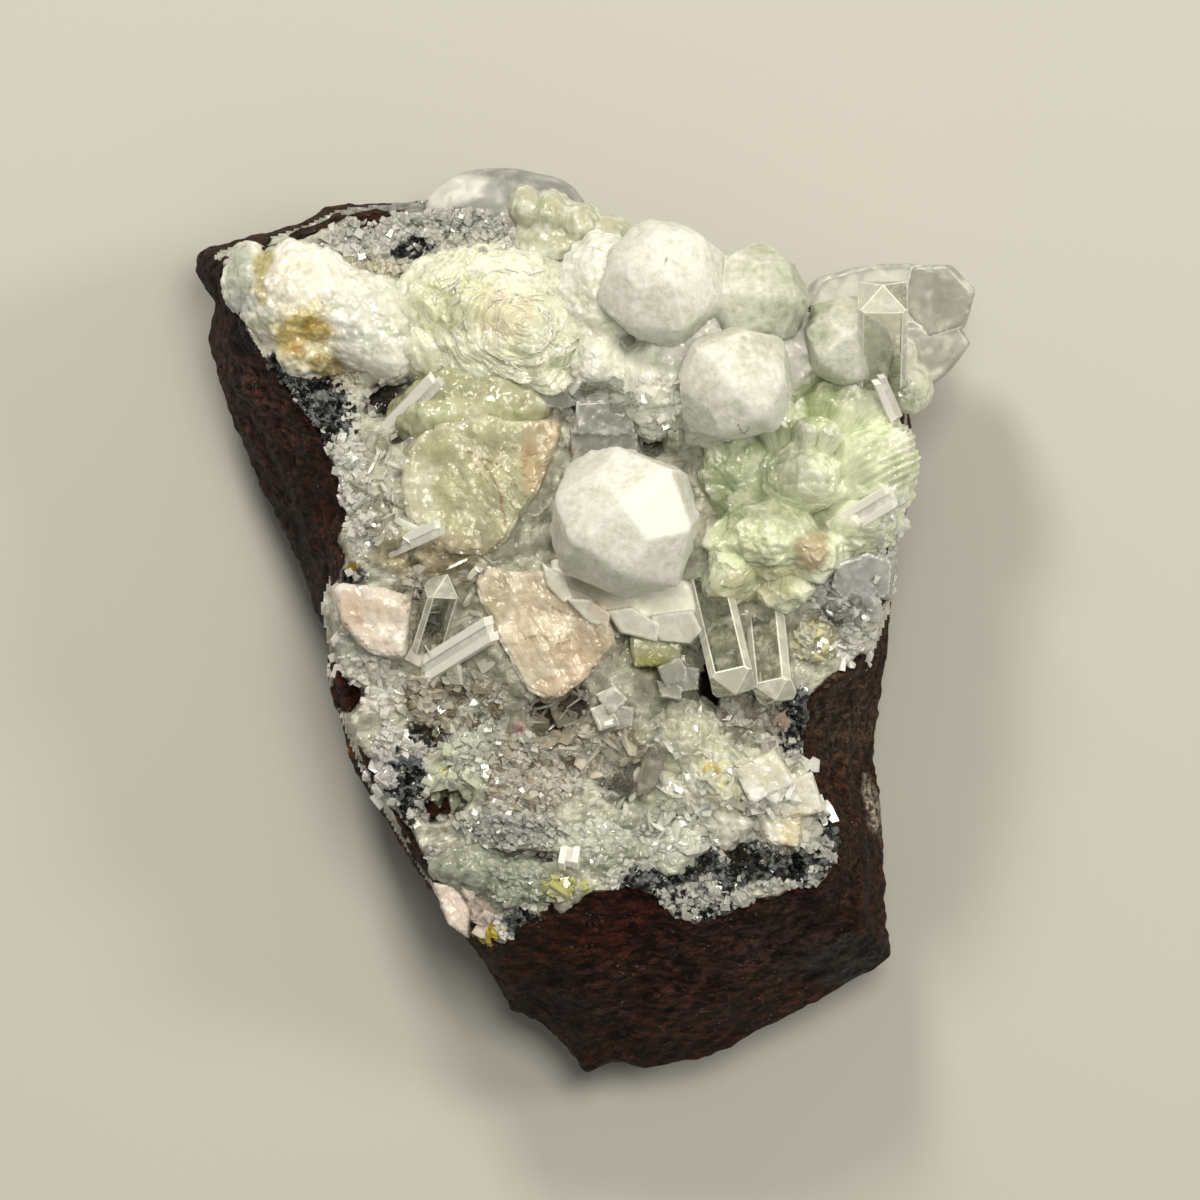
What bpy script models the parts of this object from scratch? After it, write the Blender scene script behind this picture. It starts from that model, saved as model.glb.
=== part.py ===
"""Analcime and prehnite in a pocket of basalt, lying on its back with the crystals up.

Lengths are in millimetres while a piece is shaped and in metres on its object. The origin is under the
middle of the specimen, on the surface that it lies on. +X is the specimen's right and +Y its top end.
"""

import bmesh
import bpy
from mathutils import Matrix, Vector, noise

MM = 0.001

# How far a pocket stands off the crystal that sits in it
ROOM = 0.36

# Heights of the basalt, from the flat that it rests on
EQUATOR = 8.0
LOWER_EDGE = 3.2
BASE_SHARE = 0.84
LOWER_SHARE = 0.95
POCKET_FLOOR = 16.5
SOCKET_FLOOR = 16.4
CRUST_TOP = 20.8
FLAT_ANGLE = 0.01

# The four analcime crystals: distance from the middle to the faces
ANALCIME_LARGE = 5.95
ANALCIME_UPPER = 4.95
ANALCIME_UPPER_SECOND = 4.25
ANALCIME_MIDDLE = 4.65
ANALCIME_RIGHT = 3.7
UNEVEN_FACES = 0.035

# Widths of the square clear prisms and of the laths
PRISM_STUBBY = 4.2
PRISM_LONG = 4.0
PRISM_SMALL = 3.3
PRISM_POINTED = 2.8
POINTED_THICKNESS = 2.3
LATH_WIDTH = 1.5
LATH_LEFT_WIDTH = 2.1
BLUNT_SLOPE = 0.35

# The basalt's outline, anticlockwise from the right end: x and y of its widest edge, then x, y and height of
# the pocket's rim
ROCK_EDGE = (
    (28.3, 19.1, 27.0, 19.0, 20.0),
    (27.1, 25.0, 25.6, 24.0, 19.0),
    (22.8, 27.6, 21.8, 26.2, 19.0),
    (18.6, 28.6, 17.8, 27.2, 19.0),
    (12.6, 30.6, 11.8, 29.2, 19.0),
    (6.7, 32.9, 6.2, 31.4, 19.0),
    (1.6, 34.6, 1.4, 33.2, 19.0),
    (-3.1, 35.8, -3.2, 34.6, 19.0),
    (-9.5, 36.8, -9.5, 35.6, 19.0),
    (-15.4, 36.3, -15.2, 35.2, 19.4),
    (-22.1, 36.2, -20.6, 34.6, 19.6),
    (-23.9, 34.7, -22.8, 33.4, 19.6),
    (-29.0, 33.4, -27.4, 32.0, 18.6),
    (-32.9, 32.2, -30.6, 31.4, 17.0),
    (-33.5, 30.5, -31.0, 30.0, 17.0),
    (-31.6, 27.6, -29.4, 27.2, 18.6),
    (-32.2, 24.6, -28.4, 24.6, 20.6),
    (-31.8, 22.1, -26.6, 22.0, 21.6),
    (-29.9, 16.4, -21.9, 15.6, 22.8),
    (-27.6, 11.6, -20.1, 11.0, 23.2),
    (-24.5, 5.5, -20.2, 5.2, 23.0),
    (-23.2, 1.2, -21.3, 1.6, 21.6),
    (-21.5, -1.7, -20.7, -1.6, 20.4),
    (-21.8, -4.3, -20.8, -4.4, 20.0),
    (-21.2, -7.2, -19.9, -7.2, 20.0),
    (-19.5, -12.8, -18.0, -12.4, 20.0),
    (-17.1, -16.8, -15.8, -16.2, 19.6),
    (-13.9, -21.7, -12.9, -21.0, 19.0),
    (-10.8, -26.1, -9.9, -25.2, 18.4),
    (-7.0, -31.2, -6.6, -27.6, 18.8),
    (-6.1, -33.6, -5.2, -26.0, 19.6),
    (-3.5, -34.7, -3.6, -25.0, 20.4),
    (-1.4, -36.5, -1.6, -24.1, 20.8),
    (0.4, -39.0, 0.9, -23.3, 21.2),
    (2.7, -37.9, 3.4, -22.4, 21.4),
    (5.4, -38.7, 5.8, -22.7, 21.4),
    (10.1, -37.7, 8.2, -25.2, 21.0),
    (14.3, -36.0, 10.6, -25.4, 20.8),
    (18.6, -33.3, 13.8, -24.0, 20.8),
    (23.2, -31.2, 16.6, -23.1, 20.8),
    (26.9, -28.7, 19.9, -22.6, 20.4),
    (26.2, -24.0, 21.6, -20.4, 20.4),
    (26.3, -19.6, 21.8, -17.6, 20.6),
    (26.0, -15.4, 19.6, -14.0, 21.0),
    (25.2, -11.6, 18.8, -10.6, 21.4),
    (25.7, -7.6, 19.2, -6.2, 21.2),
    (26.3, -3.0, 23.6, -3.4, 20.6),
    (26.6, 1.4, 25.4, 1.2, 20.4),
    (26.9, 5.5, 25.8, 5.4, 20.4),
    (27.8, 9.4, 26.8, 9.4, 20.4),
    (28.6, 13.6, 27.2, 13.6, 20.2),
)
ROCK_MIDDLE = Vector((-1.0, 2.0, 0.0))

# Names of the collections
PARTS = "analcime_with_prehnite"
CUTTERS = "cutters"


def clear_scene():
    for item in list(bpy.data.objects):
        bpy.data.objects.remove(item, do_unlink=True)


def collection(name):
    made = bpy.data.collections.new(name)
    bpy.context.scene.collection.children.link(made)
    return made


def mineral(name, colour, roughness, clearness=0.0):
    """A mineral's finish: its colour, how rough its faces are and how much light goes through."""
    made = bpy.data.materials.new(name)
    made.use_nodes = True
    shader = made.node_tree.nodes["Principled BSDF"]
    shader.inputs["Base Color"].default_value = (*colour, 1.0)
    shader.inputs["Roughness"].default_value = roughness
    shader.inputs["Metallic"].default_value = 0.0
    shader.inputs["Transmission Weight"].default_value = clearness
    return made


def loft(rings):
    """A closed body through rings of equally many points, the lowest ring first, capped at both ends."""
    bm = bmesh.new()
    rows = [[bm.verts.new(point) for point in ring] for ring in rings]
    count = len(rows[0])
    for lower, upper in zip(rows, rows[1:]):
        for i in range(count):
            j = (i + 1) % count
            bm.faces.new((lower[i], lower[j], upper[j], upper[i]))
    for row in (rows[0], rows[-1]):
        middle = bm.verts.new(sum((v.co for v in row), Vector()) / count)
        for i in range(count):
            bm.faces.new((row[i], row[(i + 1) % count], middle))
    bmesh.ops.recalc_face_normals(bm, faces=bm.faces)
    bmesh.ops.triangulate(bm, faces=bm.faces)
    return bm


def swollen(bm, distance):
    """Moves every point out along its normal."""
    bm.normal_update()
    moves = [(v, v.normal * distance) for v in bm.verts]
    for vertex, move in moves:
        vertex.co += move
    return bm


def plane_cut(centre, planes, reach, grow):
    """A crystal: a cube with the stone beyond each plane taken off. A plane is a direction and a distance
    from the crystal's middle."""
    bm = bmesh.new()
    bmesh.ops.create_cube(bm, size=2.0 * reach)
    for direction, distance in planes:
        normal = Vector(direction).normalized()
        everything = bm.verts[:] + bm.edges[:] + bm.faces[:]
        cut = bmesh.ops.bisect_plane(
            bm,
            geom=everything,
            plane_co=normal * (distance + grow),
            plane_no=normal,
            clear_outer=True,
        )
        rim = [item for item in cut["geom_cut"] if isinstance(item, bmesh.types.BMEdge)]
        if len(rim) > 2:
            bmesh.ops.contextual_create(bm, geom=rim)
    bmesh.ops.remove_doubles(bm, verts=bm.verts, dist=0.01)
    bmesh.ops.recalc_face_normals(bm, faces=bm.faces)
    bmesh.ops.translate(bm, verts=bm.verts, vec=Vector(centre))
    return bm


def joined(shapes):
    """One mesh of several overlapping ones, by the union of their solids."""
    made = [raw_object("joined", bm, CUTTERS) for bm in shapes]
    first = made[0]
    for other in made[1:]:
        boolean(first, other, "UNION")
    bm = bmesh.new()
    bm.from_mesh(first.data)
    bmesh.ops.scale(bm, verts=bm.verts, vec=Vector((1.0, 1.0, 1.0)) / MM)
    for item in made:
        bpy.data.objects.remove(item, do_unlink=True)
    return bm


def trapezohedron(centre, radius, face, edge, grow):
    """Analcime: 24 kites. One looks along face, and its corner on a main axis points along edge."""
    own = Matrix([Vector(row).normalized() for row in ((2, 1, 1), (1, -1, -1), (0, 1, -1))])
    look = Vector(face).normalized()
    along = (Vector(edge) - look * Vector(edge).dot(look)).normalized()
    turned = Matrix((look, along, look.cross(along))).transposed() @ own
    planes = []
    for long_axis in range(3):
        for signs in range(8):
            direction = [2.0 if axis == long_axis else 1.0 for axis in range(3)]
            direction = Vector([-d if signs >> axis & 1 else d for axis, d in enumerate(direction)])
            uneven = 1.0 + UNEVEN_FACES * noise.noise(direction * 1.7 + Vector(centre))
            planes.append((turned @ direction, radius * uneven))
    return plane_cut(centre, planes, radius * 1.6, grow)


def wall_planes(side, front, width, thickness):
    """The four walls of a crystal, as directions and distances from its middle line."""
    return [(side, width / 2), (-side, width / 2), (front, thickness / 2), (-front, thickness / 2)]


def prism(foot, tip, width, thickness, roll, slope, grow):
    """A four-sided crystal from foot to tip, with four end faces that fall by slope away from the tip."""
    foot, tip = Vector(foot), Vector(tip)
    axis = (tip - foot).normalized()
    side = axis.cross(Vector((0, 0, 1))).normalized()
    side.rotate(Matrix.Rotation(roll, 3, axis))
    front = axis.cross(side)
    length = (tip - foot).length
    planes = wall_planes(side, front, width, thickness) + [(-axis, length / 2)]
    for across in (side, -side, front, -front):
        direction = axis + across * slope
        planes.append((direction, length / 2 / direction.length))
    return plane_cut((foot + tip) / 2, planes, length, grow)


def lath(foot, tip, width, thickness, roll, grow):
    """A flat blade with a blunt end, a little lower on one side."""
    foot, tip = Vector(foot), Vector(tip)
    axis = (tip - foot).normalized()
    side = axis.cross(Vector((0, 0, 1))).normalized()
    side.rotate(Matrix.Rotation(roll, 3, axis))
    front = axis.cross(side)
    length = (tip - foot).length
    planes = wall_planes(side, front, width, thickness)
    planes += [(-axis, length / 2), (axis + side * BLUNT_SLOPE, length / 2)]
    return plane_cut((foot + tip) / 2, planes, length, grow)


def block(outline, floor, top, inset, tilt, grow):
    """A blocky crystal on an outline: its walls lean in by inset, and its top rises along tilt."""
    middle = sum((Vector((x, y, 0.0)) for x, y in outline), Vector()) / len(outline)
    low = [Vector((x, y, floor)) for x, y in outline]
    high = []
    for x, y in outline:
        away = (Vector((x, y, 0.0)) - middle) * (1.0 - inset)
        rise = away.x * tilt[0] + away.y * tilt[1]
        high.append(middle + away + Vector((0.0, 0.0, top + rise)))
    bm = bmesh.new()
    for point in low + high:
        bm.verts.new(point)
    hull = bmesh.ops.convex_hull(bm, input=bm.verts)
    inside = [item for item in hull["geom_interior"] if isinstance(item, bmesh.types.BMVert)]
    bmesh.ops.delete(bm, geom=inside, context="VERTS")
    bmesh.ops.recalc_face_normals(bm, faces=bm.faces)
    return regrown(bm, grow)


def regrown(bm, grow):
    """The same convex body with each face moved out by grow."""
    centre = sum((v.co for v in bm.verts), Vector()) / len(bm.verts)
    reach = max((v.co - centre).length for v in bm.verts) + 1.0
    planes = []
    for face in bm.faces:
        distance = (face.verts[0].co - centre).dot(face.normal)
        same = any(face.normal.dot(n) > 0.9999 and abs(distance - d) < 0.01 for n, d in planes)
        if face.calc_area() > 0.01 and not same:
            planes.append((face.normal.copy(), distance))
    bm.free()
    return plane_cut(centre, planes, reach, grow)


def lump(centre, lobes, roughness, detail, grow, floor=SOCKET_FLOOR):
    """A mass of rounded lobes seen from one middle: every point goes out to the furthest lobe in its
    direction. A lobe is its place and its three half widths. The mass is flat where it sits."""
    bm = bmesh.new()
    bmesh.ops.create_icosphere(bm, subdivisions=detail, radius=1.0)
    centre = Vector(centre)
    for vertex in bm.verts:
        ray = vertex.co.normalized()
        reach = max(exit_distance(centre, ray, lobe) for lobe in lobes)
        uneven = 1.0 + roughness * noise.noise(ray * 2.6 + centre * 0.31)
        vertex.co = centre + ray * (max(reach, 1.2) * uneven + grow * 1.2)
        vertex.co.z = max(vertex.co.z, floor - grow)
    bmesh.ops.dissolve_limit(bm, angle_limit=FLAT_ANGLE, verts=bm.verts, edges=bm.edges)
    bmesh.ops.triangulate(bm, faces=bm.faces)
    return bm


def exit_distance(start, ray, lobe):
    """How far along the ray it leaves the ellipsoid, or 0 where it misses."""
    place, widths = Vector(lobe[0]), Vector(lobe[1])
    offset = start - place
    scaled_offset = Vector([o / w for o, w in zip(offset, widths)])
    scaled_ray = Vector([r / w for r, w in zip(ray, widths)])
    a = scaled_ray.dot(scaled_ray)
    b = 2.0 * scaled_offset.dot(scaled_ray)
    c = scaled_offset.dot(scaled_offset) - 1.0
    inside_root = b * b - 4.0 * a * c
    return (-b + inside_root**0.5) / (2.0 * a) if inside_root > 0.0 else 0.0


def outline_ring(share, height, weight=0.0):
    """A ring between the basalt's widest edge (weight 0) and the pocket's rim (weight 1), drawn in."""
    ring = []
    for edge_x, edge_y, rim_x, rim_y, _ in ROCK_EDGE:
        edge, rim = Vector((edge_x, edge_y, 0.0)), Vector((rim_x, rim_y, 0.0))
        point = ROCK_MIDDLE + (edge.lerp(rim, weight) - ROCK_MIDDLE) * share
        point.z = height
        ring.append(point)
    return ring


def rim_ring(share, drop):
    """The pocket's rim drawn in by share, that much below the rim."""
    ring = outline_ring(share, 0.0, 1.0)
    for point, row in zip(ring, ROCK_EDGE):
        point.z = row[4] - drop
    return ring


def basalt(grow):
    """The broken stone: flat under, widest a little above, with a shallow pocket on top."""
    shoulder = outline_ring(1.0, 0.0, 0.42)
    for point, row in zip(shoulder, ROCK_EDGE):
        point.z = EQUATOR + (row[4] - EQUATOR) * 0.55
    rings = [
        outline_ring(BASE_SHARE, 0.0),
        outline_ring(LOWER_SHARE, LOWER_EDGE),
        outline_ring(1.0, EQUATOR),
        shoulder,
        rim_ring(1.0, 0.0),
        rim_ring(0.9, 1.4),
        outline_ring(0.6, POCKET_FLOOR, 1.0),
    ]
    return loft(rings)


def crust(grow):
    """The layer that lines the pocket from its rim to its floor."""
    rings = [
        outline_ring(0.35, 14.6, 1.0),
        outline_ring(0.72, 15.2, 1.0),
        rim_ring(0.95, 3.4),
        rim_ring(1.0, 0.7),
        rim_ring(0.965, -0.4),
        rim_ring(0.84, 0.6),
        outline_ring(0.6, CRUST_TOP, 1.0),
        outline_ring(0.3, CRUST_TOP, 1.0),
    ]
    bm = loft(rings)
    for vertex in bm.verts:
        if vertex.co.z > 18.0:
            vertex.co.z += 0.5 * noise.noise(vertex.co * 0.28)
    return swollen(bm, grow) if grow else bm


def boolean(target, other, operation):
    """Cuts target by other, or joins other to it, and keeps the result as target's mesh."""
    change = target.modifiers.new(operation.lower(), "BOOLEAN")
    change.operation = operation
    change.solver = "EXACT"
    change.object = other
    graph = bpy.context.evaluated_depsgraph_get()
    result = bpy.data.meshes.new_from_object(target.evaluated_get(graph))
    target.modifiers.clear()
    old = target.data
    target.data = result
    bpy.data.meshes.remove(old)


def keep_largest(item):
    """Drops the chips that a cut leaves loose, and the seams too fine to matter."""
    bm = bmesh.new()
    bm.from_mesh(item.data)
    bmesh.ops.triangulate(bm, faces=bm.faces)
    bmesh.ops.remove_doubles(bm, verts=bm.verts, dist=0.000002)
    bodies = []
    left = set(bm.faces)
    while left:
        body, edge = set(), {left.pop()}
        while edge:
            face = edge.pop()
            body.add(face)
            near = {other for side in face.edges for other in side.link_faces}
            edge |= (near - body) & (left | edge)
            left -= near
        bodies.append(body)
    largest = max(bodies, key=lambda body: sum(face.calc_area() for face in body))
    loose = [face for body in bodies if body is not largest for face in body]
    bmesh.ops.delete(bm, geom=loose, context="FACES")
    bm.to_mesh(item.data)
    bm.free()


def raw_object(name, bm, home):
    """An object in metres from a mesh in millimetres."""
    bmesh.ops.scale(bm, verts=bm.verts, vec=Vector((MM, MM, MM)))
    mesh = bpy.data.meshes.new(name)
    bm.to_mesh(mesh)
    bm.free()
    made = bpy.data.objects.new(name, mesh)
    bpy.data.collections[home].objects.link(made)
    return made


def corners(item):
    points = [v.co for v in item.data.vertices]
    low = Vector([min(p[axis] for p in points) for axis in range(3)])
    high = Vector([max(p[axis] for p in points) for axis in range(3)])
    return low, high


def near(first, second):
    """Whether two objects' boxes share any space."""
    (low_a, high_a), (low_b, high_b) = corners(first), corners(second)
    return all(low_a[i] < high_b[i] and low_b[i] < high_a[i] for i in range(3))


def analcime_pair(grow):
    return joined([
        trapezohedron((6.9, 28.9, 26.2), ANALCIME_UPPER, (-0.35, 0.15, 0.92), (0.3, 0.9, 0.0), grow),
        trapezohedron((14.8, 27.6, 24.0), ANALCIME_UPPER_SECOND, (0.3, 0.45, 0.84), (0.8, -0.5, 0.2),
                      grow),
    ])


def analcime_middle(grow):
    return trapezohedron((13.0, 20.3, 28.6), ANALCIME_MIDDLE, (-0.2, -0.5, 0.84), (0.9, -0.2, 0.1), grow)


def analcime_large(grow):
    return trapezohedron((3.6, 8.6, 28.6), ANALCIME_LARGE, (0.44, 0.11, 0.89), (0.26, 0.93, -0.24), grow)


def analcime_right(grow):
    return trapezohedron((22.6, 24.0, 22.6), ANALCIME_RIGHT, (-0.1, 0.6, 0.8), (0.9, 0.1, 0.0), grow)


def stubby_prism(grow):
    return prism((25.4, 21.4, 22.0), (25.4, 28.6, 28.2), PRISM_STUBBY, PRISM_STUBBY, 0.0, 0.62, grow)


def long_prism(grow):
    return prism((10.9, 3.2, 20.6), (13.0, -5.9, 27.0), PRISM_LONG, PRISM_LONG, 0.0, 0.75, grow)


def small_prism(grow):
    return prism((15.8, 0.2, 19.6), (16.4, -6.4, 25.0), PRISM_SMALL, PRISM_SMALL, 0.2, 0.6, grow)


def stepped_block(grow):
    lower = block(((-1.2, 16.6), (4.9, 16.2), (4.9, 13.6), (-0.9, 13.2)),
                  19.0, 24.0, 0.06, (0.02, 0.1), grow)
    upper = block(((-0.6, 19.0), (4.2, 19.2), (4.8, 15.8), (-0.9, 16.0)),
                  19.0, 25.2, 0.08, (-0.1, 0.05), grow)
    return joined([lower, upper])


def grey_facets(grow):
    return block(((-6.4, 18.6), (-2.0, 17.6), (1.6, 18.4), (1.6, 21.2), (-0.6, 22.6), (-4.4, 21.2)),
                 18.6, 23.8, 0.3, (0.12, 0.2), grow)


def round_left(grow):
    return prism((2.0, -6.2, 18.6), (3.0, -7.6, 24.2), 4.1, 3.6, 0.4, 0.5, grow)


def round_right(grow):
    return prism((8.0, -4.0, 18.6), (8.3, -4.8, 23.4), 4.0, 3.7, 0.9, 0.45, grow)


def pointed_prism(grow):
    return prism((-13.3, -1.9, 20.4), (-11.3, 4.3, 25.8), PRISM_POINTED, POINTED_THICKNESS, 0.4, 1.5, grow)


def skirt(grow):
    outline = ((-3.3, 5.8), (-2.6, 3.3), (-0.8, 1.6), (1.6, 0.3), (4.2, -0.9), (7.2, -1.7),
               (10.2, -1.6), (10.6, 0.6), (9.6, 3.6), (3.6, 6.4))
    return block(outline, 19.4, 23.8, 0.16, (0.0, 0.14), grow)


def dome(grow):
    lobes = (((-7.2, 35.0, 14.6), (6.8, 4.0, 4.6)), ((-3.4, 35.2, 14.0), (3.6, 2.8, 3.8)))
    return lump((-7.0, 34.8, 14.6), lobes, 0.06, 2, grow, 10.6)


def smoky_cluster(grow):
    back = block(((19.2, 28.8), (24.7, 30.6), (29.4, 30.6), (30.6, 25.2), (24.0, 22.4), (19.4, 25.0)),
                 8.6, 16.8, 0.14, (0.0, -0.12), grow)
    upper = block(((26.8, 30.6), (31.4, 30.8), (33.7, 28.6), (32.9, 25.6), (27.4, 24.6)),
                  10.4, 18.4, 0.2, (0.1, 0.08), grow)
    lower = block(((27.2, 25.6), (32.6, 25.2), (33.8, 23.0), (31.2, 21.2), (29.0, 18.0), (26.4, 19.4)),
                  9.0, 17.2, 0.22, (-0.1, 0.1), grow)
    return joined([back, upper, lower])


def right_facets(grow):
    return block(((20.6, 3.0), (22.2, 1.2), (26.6, 2.0), (27.0, 5.6), (24.4, 6.6), (21.2, 5.4)),
                 17.0, 22.6, 0.2, (-0.18, 0.16), grow)


def calcite_large(grow):
    outline = ((-15.9, 14.4), (-13.6, 17.4), (-9.5, 18.2), (-1.4, 17.8), (-1.2, 13.2), (-4.0, 9.6),
               (-6.4, 4.8), (-11.4, 5.2), (-15.9, 8.2))
    return block(outline, 17.4, 25.2, 0.24, (0.09, 0.03), grow)


def calcite_beige(grow):
    outline = ((-9.6, 3.6), (-8.4, 5.6), (-3.0, 4.8), (2.2, 1.8), (3.2, -1.2), (1.4, -4.4),
               (-2.7, -7.0), (-5.0, -6.0))
    return block(outline, 17.4, 25.6, 0.16, (0.1, 0.1), grow)


def calcite_pink(grow):
    outline = ((-21.2, 3.2), (-20.0, 3.8), (-14.1, 2.7), (-14.0, 0.6), (-14.8, -3.0), (-17.8, -3.0),
               (-20.6, 0.0))
    return block(outline, 16.8, 23.6, 0.12, (0.08, 0.1), grow)


def calcite_olive(grow):
    return block(((3.8, -0.8), (8.6, -0.9), (8.5, -3.6), (4.2, -3.8)),
                 17.8, 22.6, 0.12, (-0.1, 0.08), grow)


def white_blocks(grow):
    return joined([
        block(((12.6, -12.2), (16.4, -10.2), (18.4, -13.6), (14.2, -15.6)),
              17.6, 23.8, 0.14, (-0.12, 0.1), grow),
        block(((16.0, -13.4), (19.6, -12.4), (20.8, -16.0), (16.6, -16.8)),
              17.4, 22.8, 0.16, (0.16, 0.1), grow),
        block(((14.4, -15.2), (18.8, -15.6), (18.6, -19.2), (15.6, -18.8)),
              17.2, 22.2, 0.18, (0.1, -0.16), grow),
    ])


def pink_edge(grow):
    return block(((-13.0, -21.6), (-10.6, -21.8), (-9.2, -24.6), (-9.6, -27.0), (-11.4, -25.6)),
                 12.6, 19.8, 0.18, (0.1, 0.1), grow)


def rosette(grow):
    lobes = (((-6.6, 25.6, 19.6), (8.0, 6.6, 6.6)),
             ((-11.6, 27.8, 19.4), (4.0, 4.2, 5.0)),
             ((-2.2, 23.0, 20.0), (4.2, 4.4, 5.6)))
    return lump((-6.6, 25.6, 19.0), lobes, 0.10, 3, grow)


def cream_ball(grow):
    lobes = (((-23.6, 27.4, 17.6), (5.6, 5.2, 6.8)),
             ((-19.0, 25.2, 18.0), (4.6, 4.4, 6.0)),
             ((-28.0, 29.2, 16.4), (2.4, 3.2, 4.2)),
             ((-23.4, 23.0, 18.4), (2.8, 2.6, 4.2)))
    return lump((-22.6, 27.0, 17.8), lobes, 0.14, 3, grow)


def green_cluster(grow):
    lobes = (((19.0, 15.4, 20.0), (7.0, 5.2, 6.6)),
             ((24.6, 14.2, 19.4), (4.0, 5.4, 5.4)),
             ((16.0, 8.4, 20.0), (5.8, 4.4, 6.0)),
             ((12.2, 4.6, 19.6), (2.6, 3.0, 4.6)),
             ((18.0, 5.0, 19.4), (4.4, 3.4, 5.2)),
             ((23.0, 9.4, 19.2), (4.6, 3.4, 5.4)),
             ((20.0, 19.0, 19.4), (4.4, 3.4, 4.8)))
    return lump((18.4, 10.6, 18.6), lobes, 0.08, 3, grow)


def top_lobes(grow):
    lobes = (((-4.6, 35.2, 18.2), (2.0, 2.2, 3.4)),
             ((-2.0, 34.8, 18.4), (2.2, 2.4, 3.8)),
             ((1.4, 33.4, 18.2), (2.6, 2.0, 3.4)))
    return lump((-1.6, 34.2, 17.8), lobes, 0.06, 2, grow)


def back_cluster(grow):
    lobes = (((1.8, 28.4, 19.4), (3.8, 5.0, 6.0)),
             ((6.6, 20.4, 20.0), (3.8, 3.6, 6.0)),
             ((9.6, 24.6, 19.8), (5.6, 5.0, 5.2)))
    return lump((5.6, 25.0, 17.8), lobes, 0.07, 2, grow)


def band(grow):
    lobes = (((-11.0, 18.8, 18.2), (3.4, 2.4, 4.2)), ((-6.0, 19.2, 18.2), (3.6, 2.0, 4.0)))
    return lump((-8.6, 18.8, 17.8), lobes, 0.06, 2, grow)


def lower_mass(grow):
    lobes = (((8.6, -9.4, 18.2), (3.6, 3.6, 4.6)),
             ((9.8, -14.0, 18.0), (4.4, 3.6, 4.8)),
             ((5.2, -13.2, 17.8), (3.4, 3.0, 4.0)))
    return lump((8.4, -12.0, 17.8), lobes, 0.10, 2, grow)


def lower_crust(grow):
    lobes = (((2.2, -18.6, 18.4), (4.6, 3.4, 3.9)), ((8.0, -19.4, 18.4), (4.0, 3.0, 3.9)))
    return lump((5.0, -18.8, 17.4), lobes, 0.08, 2, grow)


def lower_left(grow):
    lobes = (((-10.2, -20.8, 17.8), (4.0, 2.6, 3.2)), ((-5.6, -22.2, 18.0), (4.0, 2.8, 3.4)))
    return lump((-7.8, -21.6, 17.0), lobes, 0.08, 2, grow)


def edge_lumps(grow):
    lobes = (((28.0, 20.2, 18.4), (1.9, 2.2, 3.8)), ((27.0, 23.0, 18.4), (1.6, 1.6, 4.0)))
    return lump((27.6, 21.2, 18.0), lobes, 0.05, 2, grow)


def lath_upper(grow):
    return lath((-17.4, 15.6, 20.4), (-12.3, 20.7, 24.8), LATH_WIDTH, 0.9, 0.2, grow)


def lath_right_small(grow):
    return lath((26.6, 17.6, 22.6), (25.1, 20.8, 25.4), 1.2, 0.8, 0.1, grow)


def lath_left(grow):
    return lath((-14.2, -4.4, 19.6), (-7.7, -0.4, 26.4), LATH_LEFT_WIDTH, 1.1, -0.2, grow)


def lath_right(grow):
    return lath((21.4, 8.0, 22.2), (26.2, 10.9, 25.6), 2.0, 1.0, 0.1, grow)


def lath_lower(grow):
    return lath((-0.9, -16.2, 18.6), (-0.8, -20.6, 23.2), 2.0, 1.0, 0.2, grow)


def lath_blade(grow):
    return lath((-17.4, 5.8, 21.4), (-11.9, 8.2, 27.0), 1.2, 0.8, 0.0, grow)


CLEAR = (0.80, 0.81, 0.79)
MILK = (0.78, 0.81, 0.76)
PALE_GREEN = (0.58, 0.64, 0.42)
CREAM = (0.76, 0.74, 0.58)
WHITE = (0.85, 0.86, 0.83)
PINK = (0.74, 0.64, 0.58)
OLIVE = (0.47, 0.47, 0.30)

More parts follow.
